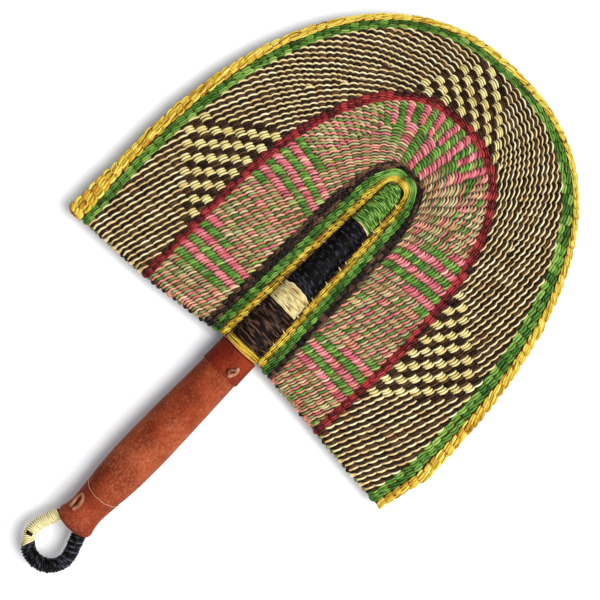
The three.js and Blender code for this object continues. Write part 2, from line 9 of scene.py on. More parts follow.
import bpy
import numpy as np
from mathutils import Euler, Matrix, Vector

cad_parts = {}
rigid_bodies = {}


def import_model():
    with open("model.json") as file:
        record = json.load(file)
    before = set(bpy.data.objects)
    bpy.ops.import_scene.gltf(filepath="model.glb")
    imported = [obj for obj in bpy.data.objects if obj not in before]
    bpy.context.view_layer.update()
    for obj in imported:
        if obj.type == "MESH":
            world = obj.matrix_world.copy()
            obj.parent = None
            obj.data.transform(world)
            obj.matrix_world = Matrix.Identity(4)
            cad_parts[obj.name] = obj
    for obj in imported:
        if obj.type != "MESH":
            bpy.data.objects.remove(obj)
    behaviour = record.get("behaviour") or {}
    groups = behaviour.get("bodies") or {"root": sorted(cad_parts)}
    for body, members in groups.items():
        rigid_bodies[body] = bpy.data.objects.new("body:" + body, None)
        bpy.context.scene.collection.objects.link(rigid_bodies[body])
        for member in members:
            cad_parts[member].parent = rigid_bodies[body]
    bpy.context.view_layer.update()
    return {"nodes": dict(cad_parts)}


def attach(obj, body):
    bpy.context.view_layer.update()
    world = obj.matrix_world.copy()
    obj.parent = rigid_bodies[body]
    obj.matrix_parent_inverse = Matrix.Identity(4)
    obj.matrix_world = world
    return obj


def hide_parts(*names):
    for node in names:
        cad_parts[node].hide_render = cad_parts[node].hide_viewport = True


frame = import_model()

rng = np.random.default_rng(46)
ORIGIN = np.array([-0.15, -30.8, 15.1])
X_AXIS, Y_AXIS, Z_AXIS = np.eye(3)

# Lines between the bands of the blade, as in the part. feet and waists are half widths at the hem
# and at the shoulders, and powers shape the arch. Pairs are for the left and the right side.
Line = namedtuple("Line", "feet waists shoulders apex powers")
LINES = [
    Line((13.5, 13.5), (7.6, 7.6), (138, 138), 149.0, (3.2, 3.2)),
    Line((18.5, 18.2), (13.2, 13.1), (126, 126), 154.0, (2.4, 2.4)),
    Line((24.2, 24.0), (19.3, 19.2), (120, 120), 158.4, (2.4, 2.4)),
    Line((30.2, 27.6), (28.0, 26.8), (78, 78), 161.8, (2.85, 2.85)),
    Line((75.6, 69.2), (75.3, 72.7), (52, 60), 203.5, (2.3, 2.52)),
    Line((81.2, 74.7), (80.9, 78.8), (52, 60), 209.3, (2.38, 2.52)),
    Line((127.6, 124.8), (128.9, 130.3), (40, 24), 247.2, (2.3, 2.5)),
    Line((132.8, 131.9), (135.2, 138.1), (40, 24), 251.9, (2.3, 2.55)),
    Line((145.4, 137.2), (143.3, 145.7), (40, 24), 256.6, (2.22, 2.45)),
]
HEM_START = (0.4, 1.9)  # height of the hem at the innermost line
HEM_DROP = (10.2, 12.4)  # how far it falls from there to the outermost line
HEM_POWER = (2.6, 1.0)  # above 1 it falls more steeply near the spine
PLAIT_OVERHANG = (1.9, 0.2)  # how far the plait's feet reach below the hem
BLADE_HALF = 2.6  # half the blade's thickness
HEM_SPOKE = 3.9  # from the hem's lowest line up to the last spoke


# Paths
def placed(points):
    return (points + ORIGIN) / 1000


def unit(vectors):
    return vectors / (np.linalg.norm(vectors, axis=-1, keepdims=True) + 1e-12)


def run_of(points):
    """The distance of each point along the path, from its start."""
    return np.concatenate([[0], np.cumsum(np.linalg.norm(np.diff(points, axis=0), axis=1))])


def at_distance(distance, run, points):
    """The path's places, or other values held in columns, at these distances along it."""
    return np.stack([np.interp(distance, run, column) for column in points.T], 1)


def evenly(points, count):
    run = run_of(points)
    return at_distance(np.linspace(0, run[-1], count), run, points)


def with_z(xy, z=0.0):
    return np.column_stack([xy, np.broadcast_to(z, len(xy))])


def round_axis(angle, y, half_x, half_z):
    """Points round the fan's own y axis. Angle 0 is in front."""
    return np.stack([half_x * np.sin(angle), y, half_z * np.cos(angle)], -1)


def winding(turns, steps):
    """Angle, share of the whole and number of the turn, at steps per turn. Turns start behind."""
    angle = np.linspace(0, 2 * np.pi * turns, turns * steps + 1)
    share = angle / angle[-1]
    return angle - np.pi, share, (share * turns).astype(int)


def phase(size=None):
    """Where a wave starts, anywhere in its cycle."""
    return rng.uniform(0, 6.3, size)


# Meshes
CORNER_RINGS, CORNER_SIDES = np.array([0, 0, 1, 1]), np.array([0, 1, 1, 0])  # the corners of a face


def ring_quads(rings, sides, steps):
    """Faces from each ring of points to the next. With as many steps as rings the last meets the first."""
    ring = (np.arange(steps)[:, None, None] + CORNER_RINGS) % rings
    side = (np.arange(sides)[:, None] + CORNER_SIDES) % sides
    return (ring * sides + side).reshape(-1, 4)


def new_object(name, points, quads, keys):
    """A smooth mesh from points in millimetres and four-cornered faces."""
    mesh = bpy.data.meshes.new(name)
    mesh.vertices.add(len(points))
    mesh.vertices.foreach_set("co", placed(points).astype(np.float32).ravel())
    mesh.loops.add(quads.size)
    mesh.loops.foreach_set("vertex_index", quads.astype(np.int32).ravel())
    mesh.polygons.add(len(quads))
    mesh.polygons.foreach_set("loop_start", np.arange(len(quads), dtype=np.int32) * 4)
    mesh.polygons.foreach_set("use_smooth", np.full(len(quads), True))
    for key in keys:
        mesh.materials.append(MATERIALS[key])
    mesh.update(calc_edges=True)
    made = bpy.data.objects.new(name, mesh)
    bpy.context.scene.collection.objects.link(made)
    return made


def ride(made, slot, *nodes):
    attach(made, "root")
    if nodes:
        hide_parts(*nodes)


FIBRE_SHIFT, FIBRE_SHIFTS = 37.0, 977  # of the fibres from strand to strand, and how many there are
STRIP_MARGIN = 0.04  # of a strand's strip in the baked picture, on each side, as a share of it


class Strands:
    """Collects swept strands and turns them into one piece."""

    def __init__(self, sides=6):
        self.sides = sides
        self.points, self.faces = [], []
        self.count = self.strips = 0

    def add(self, path, across, half_width, half_height, *, index=0, tone=0.5, closed=False, twist=0.0):
        """Sweeps an ellipse along path. across is its wide direction, everywhere or at each point."""
        n, sides = len(path), self.sides
        steps = n if closed else n - 1
        along = unit(np.roll(path, -1, 0) - np.roll(path, 1, 0) if closed else np.gradient(path, axis=0))
        wide = unit(across - (across * along).sum(1, keepdims=True) * along)
        high = np.cross(along, wide)
        angle = 2 * np.pi * np.arange(sides)[:, None] / sides
        half_width, half_height = (np.broadcast_to(h, n)[:, None, None] for h in (half_width, half_height))
        rings = path[:, None] + wide[:, None] * np.cos(angle) * half_width
        rings = rings + high[:, None] * np.sin(angle) * half_height
        run = run_of(np.concatenate([path, path[:1]]))[:steps + 1]
        u = run[np.arange(steps)[:, None, None] + CORNER_RINGS]
        v = (np.arange(sides)[:, None] + CORNER_SIDES) / sides
        u, v = np.broadcast_arrays(u, v)
        index, tone = (np.broadcast_to(values, n)[:steps] for values in (index, tone))
        faces = ring_quads(n, sides, steps)
        self.add_faces(faces, u, v + twist * u, v, run[-1], np.repeat(index, sides), np.repeat(tone, sides))
        if not closed:
            cap = np.array([[j, j + 1, sides - 2 - j, sides - 1 - j] for j in range(sides // 2 - 1)])
            zero = np.zeros(cap.shape)
            self.add_faces(cap, zero, zero, zero, 1.0, index[0], tone[0])
            self.add_faces(cap[:, ::-1] + (n - 1) * sides, zero, zero, zero, 1.0, index[-1], tone[-1])
        self.points.append(rings.reshape(-1, 3))
        self.count += n * sides
        self.strips += 1

    def add_faces(self, quads, u, twisted, v, length, index, tone):
        """Keeps faces with their two maps: the straw's fibres, and a strip of the baked picture."""
        fibre = np.stack([u + FIBRE_SHIFT * (self.strips % FIBRE_SHIFTS), twisted], -1)
        strip = self.strips + STRIP_MARGIN + (1 - 2 * STRIP_MARGIN) * v
        bake = np.stack([u / length, strip], -1)
        index, tone = (np.broadcast_to(values, len(quads)) for values in (index, tone))
        self.faces.append((quads + self.count, fibre.reshape(-1, 2), bake.reshape(-1, 2), index, tone))

    def build(self, name, keys, slot, *nodes):
        quads, fibre, bake, index, tone = (np.concatenate(part) for part in zip(*self.faces))
        made = new_object(name, np.concatenate(self.points), quads, keys)
        made.data.polygons.foreach_set("material_index", index.astype(np.int32))
        bake[:, 1] /= self.strips
        for layer, uv in (("fibre", fibre), ("OFBake", bake)):
            made.data.uv_layers.new(name=layer).uv.foreach_set("vector", uv.astype(np.float32).ravel())
        tones = made.data.attributes.new("tone", "FLOAT", "FACE")
        tones.data.foreach_set("value", tone.astype(np.float32))
        ride(made, slot, *nodes)


# Materials
LIGHT_LEVEL = 1.44  # how bright the light makes a white surface
HANDLE_CLOUDS, LACE_CLOUDS = 38.0, 160.0  # how fine the clouds of leather are, per metre


def srgb(r, g, b):
    """The surface colour that looks like this under the scene's light."""
    values = [c / 255 for c in (r, g, b)]
    linear = (c / 12.92 if c <= 0.04045 else ((c + 0.055) / 1.055) ** 2.4 for c in values)
    return tuple(c / LIGHT_LEVEL for c in linear) + (1.0,)


class Nodes:
    """A material's node tree, with short ways to add to it."""

    def __init__(self, name, roughness, shine):
        self.material = bpy.data.materials.new(name)
        self.material.use_nodes = True
        self.tree = self.material.node_tree
        self.shader = self.tree.nodes["Principled BSDF"].inputs
        self.shader["Roughness"].default_value = roughness
        self.shader["Specular IOR Level"].default_value = shine

    def feed(self, socket, value):
        """Gives a socket its value, or the node output that it takes its value from."""
        if isinstance(value, bpy.types.NodeSocket):
            self.tree.links.new(value, socket)
        else:
            socket.default_value = value

    def node(self, kind, inputs=None, **settings):
        made = self.tree.nodes.new(kind)
        for key, value in settings.items():
            setattr(made, key, value)
        for key, value in (inputs or {}).items():
            self.feed(made.inputs[key], value)
        return made

    def noise(self, vector, scale, detail=2.0, roughness=0.5):
        inputs = {"Vector": vector, "Scale": scale, "Detail": detail, "Roughness": roughness}
        return self.node("ShaderNodeTexNoise", inputs).outputs["Fac"]

    def stretched(self, vector, scale):
        return self.node("ShaderNodeMapping", {"Vector": vector, "Scale": scale}).outputs["Vector"]

    def ramp(self, factor, places, colours):
        made = self.node("ShaderNodeValToRGB", {"Fac": factor})
        stops = made.color_ramp.elements
        while len(stops) < len(places):
            stops.new(0.5)
        for stop, place, colour in zip(stops, places, colours):
            stop.position = place
            stop.color = srgb(*colour)
        return made.outputs["Color"]

    def math(self, operation, a, b):
        return self.node("ShaderNodeMath", {0: a, 1: b}, operation=operation).outputs["Value"]

    def weighted(self, *terms):
        """The sum of values, each times its weight."""
        parts = [self.math("MULTIPLY", value, weight) for value, weight in terms]
        total = parts[0]
        for part in parts[1:]:
            total = self.math("ADD", total, part)
        return total

    def bump(self, height, strength, distance):
        inputs = {"Strength": strength, "Distance": distance, "Height": height}
        self.feed(self.shader["Normal"], self.node("ShaderNodeBump", inputs).outputs["Normal"])


def straw(name, dark, base, light, *, roughness=0.55, fibre_strength=0.5, shine=0.25):
    """Dyed straw: a tone of its own for each stitch, and fine fibres along the strand."""
    n = Nodes(name, roughness, shine)
    uv = n.node("ShaderNodeUVMap", uv_map="fibre").outputs["UV"]
    tone = n.node("ShaderNodeAttribute", attribute_type="GEOMETRY", attribute_name="tone").outputs["Fac"]
    fibre = n.noise(n.stretched(uv, (0.22, 7.0, 1.0)), 1.0, 3.0, 0.6)
    blotch = n.math("SUBTRACT", n.noise(n.stretched(uv, (0.35, 1.0, 1.0)), 0.8), 0.5)
    shade = n.weighted((tone, 0.6), (fibre, fibre_strength), (blotch, 0.5))
    n.feed(n.shader["Base Color"], n.ramp(shade, (0.2, 0.52, 0.85), (dark, base, light)))
    n.bump(fibre, 0.5, 0.00025)
    return n.material


def leather(name, dark, base, light, scuffed, clouds=HANDLE_CLOUDS):
    """Dyed leather with clouds, a fine grain, streaks along the handle and scuffs."""
    n = Nodes(name, roughness=0.75, shine=0.1)
    place = n.node("ShaderNodeTexCoord").outputs["Object"]
    cloud = n.noise(place, clouds, 4.0, 0.6)
    grain = n.noise(place, 1100.0, 3.0, 0.7)
    streak = n.noise(n.stretched(place, (90.0, 22.0, 90.0)), 1.0, 3.0, 0.6)
    shade = n.weighted((cloud, 0.45), (grain, 0.4), (streak, 0.25))
    colour = n.ramp(shade, (0.36, 0.52, 0.72), (dark, base, light))
    scuff = n.noise(n.stretched(place, (700.0, 500.0, 700.0)), 1.0, 3.0, 0.6)
    patch = n.math("MULTIPLY", n.noise(place, 26.0), 0.6)
    worn = n.math("MAXIMUM", n.math("SUBTRACT", n.math("ADD", scuff, patch), 0.8), 0.0)
    worn = n.math("MINIMUM", n.math("MULTIPLY", worn, 1.4), 0.3)
    mixed = n.node("ShaderNodeMix", {0: worn, 6: colour, 7: srgb(*scuffed)}, data_type="RGBA")
    n.feed(n.shader["Base Color"], mixed.outputs[2])
    n.bump(n.math("ADD", n.math("MULTIPLY", grain, 0.5), n.math("ADD", streak, scuff)), 0.6, 0.0004)
    return n.material


MATERIALS = {
    "cream": straw("cream straw", (218, 180, 118), (248, 228, 168), (255, 251, 208)),
    "pale": straw("pale yellow straw", (210, 182, 106), (240, 224, 150), (255, 248, 194)),
    "brown": straw("brown straw", (22, 11, 5), (52, 33, 18), (98, 70, 44), shine=0.1),
    "pink": straw("pink straw", (168, 58, 74), (225, 115, 127), (252, 176, 176)),
    "salmon": straw("salmon straw", (182, 96, 76), (234, 156, 130), (252, 204, 178)),
    "beige": straw("beige straw", (184, 134, 94), (232, 192, 148), (250, 228, 190)),
    "green": straw("green straw", (38, 84, 16), (90, 146, 48), (162, 204, 98)),
    "olive": straw("olive straw", (78, 84, 38), (138, 144, 82), (200, 198, 138)),
    "sage": straw("sage straw", (104, 112, 68), (162, 168, 112), (212, 212, 158)),
    "lime": straw("lime straw", (140, 138, 62), (194, 194, 108), (226, 226, 154)),
    "deep_green": straw("deep green straw", (22, 60, 10), (66, 120, 28), (146, 188, 80)),
    "crimson": straw("crimson straw", (42, 2, 3), (118, 12, 20), (186, 54, 58)),
    "yellow": straw("yellow straw", (150, 88, 12), (222, 182, 42), (252, 232, 108)),
    "gold": straw("gold straw", (92, 62, 6), (198, 162, 30), (250, 228, 90)),
    "orange": straw("orange straw", (140, 58, 20), (200, 112, 56), (232, 166, 104)),
    "dark": straw("dark straw", (2, 1, 0), (22, 12, 7), (124, 86, 62), fibre_strength=0.6),
    # The black straw's bluish light stop is painted highlight: the glints on the glossy straw.
    "wrap_black": straw(
        "blue-black straw", (0, 0, 0), (1, 1, 4), (74, 76, 90),
        roughness=0.45, fibre_strength=0.4, shine=0.12,
    ),
    "wrap_brown": straw("brown wrapping straw", (4, 2, 1), (28, 15, 11), (118, 86, 70), shine=0.12),
    "wrap_cream": straw(
        "cream wrapping straw", (146, 98, 44), (228, 206, 136), (254, 244, 188), fibre_strength=0.6,
    ),
    "wrap_green": straw(
        "green wrapping straw", (18, 58, 8), (70, 127, 32), (156, 200, 92), fibre_strength=0.6,
    ),
    # The spokes' tan is darker than bare straw: partly their own colour, partly painted shade of the gaps
    # between stitches.
    "spoke": straw("spoke straw", (86, 54, 34), (144, 102, 72), (186, 146, 110), shine=0.1),
    # Straw under windings, in a dark brown that is painted shade where it shows between them.
    "painted_shade_core": straw("hidden straw", (24, 12, 4), (60, 34, 16), (96, 62, 34), shine=0.1),
    "amber": straw("amber straw", (96, 52, 10), (160, 98, 24), (206, 146, 44)),
    # The imported spokes and cores, darker than bare straw by painted shade.
    "stalk": straw("bare stalk", (40, 24, 10), (86, 60, 32), (130, 98, 58)),
    "suede": leather("suede leather", (76, 20, 6), (134, 51, 23), (184, 88, 50), (214, 134, 96)),
    "cup": leather("lower collar leather", (72, 20, 8), (132, 48, 24), (178, 82, 50), (200, 120, 88)),
    "collar": leather("collar leather", (66, 12, 2), (114, 28, 7), (164, 62, 26), (176, 84, 50)),
    "raw": leather("raw leather edge", (176, 110, 78), (214, 156, 120), (236, 190, 156), (240, 200, 170)),
    "cut": leather("cut leather edge", (120, 50, 28), (178, 92, 64), (210, 132, 104), (220, 150, 120)),
    "knot": leather(
        "knotted lace leather", (66, 30, 16), (120, 72, 46), (176, 128, 96), (200, 160, 130), LACE_CLOUDS,
    ),
    "lace": leather(
        "lace leather", (96, 48, 30), (172, 110, 82), (218, 164, 134), (230, 190, 164), LACE_CLOUDS,
    ),
}


# The lines and rows
STRAIGHT_POINTS, ARCH_POINTS, LINE_HALF_POINTS = 300, 1200, 400


def on_side(line, side):
    """The line's foot, waist, shoulder and power on the left or right."""
    return [pair[side] for pair in (line.feet, line.waists, line.shoulders, line.powers)]


def hem_height(side, half_width):
    first, last = LINES[0].feet[side], LINES[-1].feet[side]
    share = (half_width - first) / (last - first)
    return HEM_START[side] - HEM_DROP[side] * (1 - np.clip(1 - share, 0, None) ** HEM_POWER[side])


def half_line(line, side):
    """Points up one side of a line, from the hem to the apex, evenly spaced."""
    foot, waist, shoulder, power = on_side(line, side)
    low = hem_height(side, foot) + BLADE_HALF
    t = np.linspace(0, 1, STRAIGHT_POINTS)
    straight = np.stack([foot + (waist - foot) * t, low + (shoulder - low) * t], 1)
    angle = np.linspace(0, np.pi / 2, ARCH_POINTS)
    arch = np.stack([
        waist * np.clip(np.cos(angle), 0, None) ** (2 / power),
        shoulder + (line.apex - shoulder) * np.sin(angle) ** (2 / power),
    ], 1)
    return evenly(np.concatenate([straight[:-1], arch]) * ((-1, 1)[side], 1), LINE_HALF_POINTS)


def whole_line(line):
    left, right = half_line(line, 0), half_line(line, 1)
    return np.concatenate([left, right[::-1][1:]])


LINE_POINTS = [whole_line(line) for line in LINES]

# Spokes, numbered clockwise from the left end of the hem. Along both sides they keep their distance
# from the hem; round the arch more are laid in, in pairs, as the rows get longer.
LEFT_GAPS, RIGHT_GAPS, ARCH_GAPS = 22, 24, 21
FIRST_PAIRS = (1, 3, 5, 7, 9, 11, 14, 16, 18, 20)
SECOND_PAIRS = (2, 4, 6, 15, 17, 19)
ARCH_STRETCH = 0.1  # how much wider the spokes stand at the tip of the outer bands
ARCH_SHIFTS = (0, 0, 0, 3.4, -7.1, -7.1, -7.6, -7.6, -7.6)  # of the middle spoke along each line
# Which spokes of the arch reach the first two bands, and their places there as shares of the arch
INNER_SPOKES = (0, 2, 4, 6, 7, 9, 11, 12, 14, 15, 17, 19, 21)
INNER_PLACES = (0, 0.064, 0.128, 0.192, 0.256, 0.32, 0.5, 0.68, 0.744, 0.808, 0.872, 0.936, 1)
LEFT_PITCH = (5.33, 5.33, 5.33, 5.2, 5.93, 6.0, 6.70, 6.74, 6.80)
RIGHT_PITCH = (5.40, 5.40, 5.40, 5.40, 5.90, 5.95, 6.56, 6.60, 6.66)


def spoke_stages():
    """The stage at which each spoke is there: 0 from the spine on, 1 and 2 further out."""
    stages = [0] * (LEFT_GAPS + 1)
    for b in range(1, ARCH_GAPS):
        pair = 1 if b in FIRST_PAIRS else 2 if b in SECOND_PAIRS else None
        stages += [0] if pair is None else [pair, 0, pair]
    return np.array(stages + [0] * (RIGHT_GAPS + 1))


STAGES = spoke_stages()
SPOKES = len(STAGES)


def spoke_places(k):
    """Distance of every spoke along line k from its left foot, as a share of the line."""
    stage = 0 if k <= 3 else 1 if k <= 5 else 2
    length = run_of(LINE_POINTS[k])[-1]
    inset = HEM_SPOKE - BLADE_HALF
    left = inset + LEFT_PITCH[k] * np.arange(LEFT_GAPS + 1)
    right = length - inset - RIGHT_PITCH[k] * np.arange(RIGHT_GAPS + 1)[::-1]
    arch_ids = np.arange(LEFT_GAPS, SPOKES - RIGHT_GAPS)
    there = arch_ids[STAGES[arch_ids] <= stage]
    shares = np.linspace(0, 1, len(there))
    if k <= 2:
        shares = np.interp(np.arange(len(there)), INNER_SPOKES, INNER_PLACES)
    elif k > 3:
        shares = shares - ARCH_STRETCH * np.sin(2 * np.pi * shares) / (2 * np.pi)
    arch = right[0] - left[-1]
    shares = shares + ARCH_SHIFTS[k] / arch * np.sin(np.pi * shares)
    places = np.interp(arch_ids, there, left[-1] + arch * shares)
    return np.concatenate([left[:-1], places, right[1:]]) / length


def spoke_starts():
    """Where each spoke starts, as its band's number and the share of that band's width."""
    starts = np.full(SPOKES, -1.0)
    for stage, low, high in ((1, 3.54, 3.7), (2, 5.05, 5.5)):
        ids = np.flatnonzero(STAGES == stage)
        starts[ids] = np.repeat(rng.uniform(low, high, len(ids) // 2), 2)
    arch = np.flatnonzero(STAGES == 0)[LEFT_GAPS:LEFT_GAPS + ARCH_GAPS + 1]
    starts[np.delete(arch, INNER_SPOKES)] = 2.0
    return starts


SPOKE_PLACES = [spoke_places(k) for k in range(len(LINES))]
SPOKE_STARTS = spoke_starts()
WANDER = 0.32  # how far a spoke strays to either side
WANDER_WAVES = rng.uniform(1.0, 2.6, SPOKES)
WANDER_PHASES = rng.uniform(0, 2 * np.pi, SPOKES)


ROW_STEP = 0.4  # before and behind a place on a row, for the row's direction there


class Row:
    """One twined row: its centre line, the width it takes there, and its spokes."""

    def __init__(self, k, share, scatter=0.1):
        inner, outer = LINE_POINTS[k], LINE_POINTS[k + 1]
        self.share = share
        self.points = inner + (outer - inner) * share
        self.run = run_of(self.points)
        self.width = np.linalg.norm(outer - inner, axis=1)
        self.side = unit(outer - inner)
        places = SPOKE_PLACES[k] + (SPOKE_PLACES[k + 1] - SPOKE_PLACES[k]) * share
        self.ids = np.flatnonzero(SPOKE_STARTS <= k + share)
        self.stations = places[self.ids] * self.run[-1]
        waves = 2 * np.pi * WANDER_WAVES[self.ids] * (k + share) + WANDER_PHASES[self.ids]
        stray = WANDER * np.sin(waves) + rng.normal(0, scatter, len(waves))
        self.stations[1:-1] += stray[1:-1]

    def at(self, distance):
        """Centre, outward normal, direction and band width at distances along the row."""
        steps = (0, ROW_STEP, -ROW_STEP)
        centre, ahead, behind = (at_distance(distance + step, self.run, self.points) for step in steps)
        out = at_distance(distance, self.run, self.side)
        along = unit(ahead - behind)
        normal = np.stack([-along[:, 1], along[:, 0]], 1)
        normal *= np.sign((normal * out).sum(1, keepdims=True))
        width = np.interp(distance, self.run, self.width) * np.abs((out * normal).sum(1))
        return centre, normal, along, width


# Where a strand is sampled from one spoke to the next. It passes from front to back halfway.
STITCH_STEPS = np.array([0.0, 0.2, 0.34, 0.44, 0.5, 0.56, 0.66, 0.8])
PLY_SHIFT = 1.3  # how far side-by-side straws of a strand are shifted along it
BULGE_HEIGHTS, BULGES = (60.0, 230.0), (0.25, 0.6)  # of stitches outwards, in rows, up the blade
FOLD_ANGLES = np.array([0.2, 0.4, 0.6, 0.8]) * np.pi  # of a strand's points round an end spoke
FOLD_REACH = HEM_SPOKE - 0.2
FULL_HALF = 0.48  # half width of a strand where it is widest, in rows


def twined_row(
    strands, row, rows_in_band, colours, *, jitter, neck, lean=0.5, height=1.82, thickness=0.78,
    plies=1, bulges=BULGES, rise_power=0.45,
):
    """Two strands twisted round each other between the spokes, joined in a fold round each end
    spoke. colours(spoke order, front) gives the material index, tone and width of a stitch."""
    spokes = len(row.stations)
    tau = np.append((np.arange(spokes - 1)[:, None] + STITCH_STEPS).ravel(), spokes - 1)
    nearest = np.rint(tau).astype(int)
    within = tau - nearest
    distance = np.interp(tau, np.arange(spokes), row.stations)
    swell = np.abs(np.cos(np.pi * tau))
    flat = thickness * (0.8 + 0.2 * swell)
    wobble = rng.normal(0, jitter, spokes)[nearest]
    wobble = wobble + jitter * np.sin(distance / rng.uniform(5, 9) + phase())
    middles = (tau[1:] + tau[:-1]) / 2
    fold_out, fold_up = np.sin(FOLD_ANGLES)[:, None], np.cos(FOLD_ANGLES)
    folded = np.ones(len(FOLD_ANGLES))
    for ply in range(plies):
        beside = (ply - (plies - 1) / 2) / plies
        centre, normal, along, width = row.at(distance + PLY_SHIFT * beside)
        pitch = width / rows_in_band
        wide = with_z(normal)
        bulge = np.interp(centre[:, 1], BULGE_HEIGHTS, bulges)
        swerve = -within + bulge * swell * (1 - within)
        halves = []
        for sign in (1, -1):
            facing = sign * (1 - 2 * (nearest % 2))
            rise = height - 0.35 * abs(beside) + (rng.normal(0, 0.05, spokes)[nearest] if plies > 1 else 0)
            curl = 0.1 * np.sin(distance / 0.95 + phase()) * (plies > 1)
            z = facing * (rise + curl) * swell**rise_power
            _, _, scale = colours(nearest, facing > 0)
            size = scale * pitch * (neck + (FULL_HALF - neck) * swell**0.7)
            sway = 0.05 * np.sin(distance / 1.15 + phase()) * (plies > 1)
            lateral = (2 * lean * facing * swerve + wobble + sway) * pitch + 2 * beside * size
            points = with_z(centre + normal * lateral[:, None], z)
            # the fold round the spoke that this strand starts from
            at, end = (0, -1)[::sign]
            sideways = 2 * beside * size[at] + 0.3 * sign * pitch[at] * fold_out
            fold = centre[at] - sign * along[at] * FOLD_REACH * fold_out + normal[at] * sideways
            # a face between two samples belongs to the stitch that its middle lies in
            faces = np.rint(np.append(middles[::sign], tau[end])).astype(int)
            fold_front = np.repeat([z[at] < 0, z[at] > 0], 2)
            halves.append([np.concatenate(both) for both in (
                (with_z(fold, -z[at] * fold_up), points[::sign]),
                (np.outer(folded, wide[at]), wide[::sign]),
                (folded * size[at] * 0.95, size[::sign]),
                (folded * flat[at] * 0.85, flat[::sign]),
                (np.repeat(nearest[at], len(folded)), faces),
                (fold_front, sign * (1 - 2 * (faces % 2)) > 0),
                (folded, 0 * tau),
            )])
        path, across, half_w, half_h, stitch, front, shaded = map(np.concatenate, zip(*halves))
        index, tone, _ = colours(stitch, front)
        tone = tone - 0.3 * shaded + 0.12 * rng.normal() * (plies > 1)
        strands.add(path, across, half_w / plies, half_h, index=index, tone=tone, closed=True, twist=0.12)


def stitch_table(front, back, spread, widths):
    """colours() for twined_row from the material index of each stitch, in front and behind."""
    tones = np.clip(rng.normal(0.45, spread, (2, len(front))), 0, 1)
    sides = ((front, back), tones, widths)

    def colours(stitch, is_front):
        return [np.where(is_front, side[0][stitch], side[1][stitch]) for side in sides]

    return colours


def woven_band(names, slot, node, k, rows, keys, stitches, *, scatter=0.1, spread=0.22, **shape):
    """Twines the rows of band k, shared out over pieces with these names. stitches(row, number)
    gives the material index of each stitch in front and behind, and the widths of both."""
    edges = np.linspace(0, rows, len(names) + 1).round().astype(int)
    for name, first, last in zip(names, edges, edges[1:]):
        strands = Strands()
        for r in range(first, last):
            row = Row(k, (r + 0.5) / rows, scatter)
            front, back, widths = stitches(row, r)
            twined_row(strands, row, rows, stitch_table(front, back, spread, widths), **shape)
        strands.build(name, keys, slot, node)


PLAIN_SHAPE = {
    "height": 1.95, "thickness": 0.62, "lean": 0.14, "plies": 2, "jitter": 0.05, "neck": 0.32,
    "bulges": (0.1, 0.3), "rise_power": 0.24,
}


def plain_band(band, slot, *details, shares=None, **spread):
    """A band whose stitches take their straws at random, in these shares."""
    keys = details[-1]

    def stitches(row, _):
        front, back = (rng.choice(len(keys), len(row.stations), p=shares) for _ in range(2))
        return front, back, np.ones((2, len(front)))

    woven_band([f"{band}_rows"], slot, f"{band}_courses", *details, stitches, **spread, **PLAIN_SHAPE)


def wide_field(colours, *details, **shape):
    names = [f"{colours}_courses_{part + 1}" for part in range(ROW_PARTS)]
    woven_band(names, f"{colours}_straw", f"{colours}_field", *details, **shape)


# Colour patterns of the two wide fields
INNER_ROWS, OUTER_ROWS = 21, 25
ROW_PARTS = 4  # pieces each wide field is built in
WEDGES_AT = (13.7, 13.9)  # middles of the wedges at the sides, in stitches from the hem
WEDGE_HALF, WEDGE_TAPER = 7.6, 6.8
TIP_HALF, TIP_TAPER = 6.6, 6.0


def apex_share(k, x):
    """Where line k crosses x at its top, as a share of its length."""
    points = LINE_POINTS[k]
    run = run_of(points)
    top = points[:, 1] > 0.5 * (LINES[k].shoulders[0] + LINES[k].apex)
    return np.interp(x, points[top][:, 0], run[top]) / run[-1]


TIP_INNER, TIP_OUTER = apex_share(5, -1.8), apex_share(6, -8.5)  # ends of the tip wedge's middle


def in_wedge(row):
    """Whether each stitch lies in one of the three checkered wedges of the outer field."""
    order = np.arange(len(row.stations))
    half = WEDGE_HALF - WEDGE_TAPER * row.share
    left = np.abs(order - WEDGES_AT[0]) <= half
    right = np.abs(order[::-1] - WEDGES_AT[1]) <= half
    tip_at = TIP_INNER + (TIP_OUTER - TIP_INNER) * row.share
    tip_centre = np.interp(tip_at, row.stations / row.run[-1], order)
    return left | right | (np.abs(order - tip_centre) <= TIP_HALF - TIP_TAPER * row.share)


# Single-spoke stripes of the inner field: spoke number from that side's hem, and the share of the
# field's width at which the stripe starts. The stripes at the tip lie between two edges, which are
# given as shares of the width and the x that the edge has there.
LEFT_STRIPES = {
    4: 0.1, 5: 0.0, 6: 0.0, 7: 0.0, 8: 0.48, 9: 0.74, 16: 0.82, 17: 0.45, 18: 0.0, 19: 0.0, 20: 0.0, 21: 0.0,
    22: 0.4,
}
RIGHT_STRIPES = {
    4: 0.06, 5: 0.0, 6: 0.04, 7: 0.0, 8: 0.45, 9: 0.8, 17: 0.82, 18: 0.46, 19: 0.0, 20: 0.0, 21: 0.0,
    22: 0.1, 23: 0.4, 24: 0.76,
}
TIP_LEFT = ([0, 0.3, 0.36, 0.6, 0.62, 1], [-9.1, -10.4, -24.7, -29.2, -37, -34])
TIP_RIGHT = ([0, 0.3, 0.45, 0.6, 0.75, 1], [9.8, 11.7, 21.5, 29.2, 33.8, 32.5])
TIP_ABOVE = 150


def in_stripes(row):
    """Whether each stitch lies in a stripe of the inner field."""
    striped = np.zeros(len(row.ids), bool)
    for numbers, stripes in ((row.ids, LEFT_STRIPES), (SPOKES - 1 - row.ids, RIGHT_STRIPES)):
        for number, start in stripes.items():
            striped |= (numbers == number) & (row.share >= start)
    x, y = row.at(row.stations)[0].T
    low, high = (np.interp(row.share, *edge) for edge in (TIP_LEFT, TIP_RIGHT))
    return striped | ((y > TIP_ABOVE) & (x > low) & (x < high))


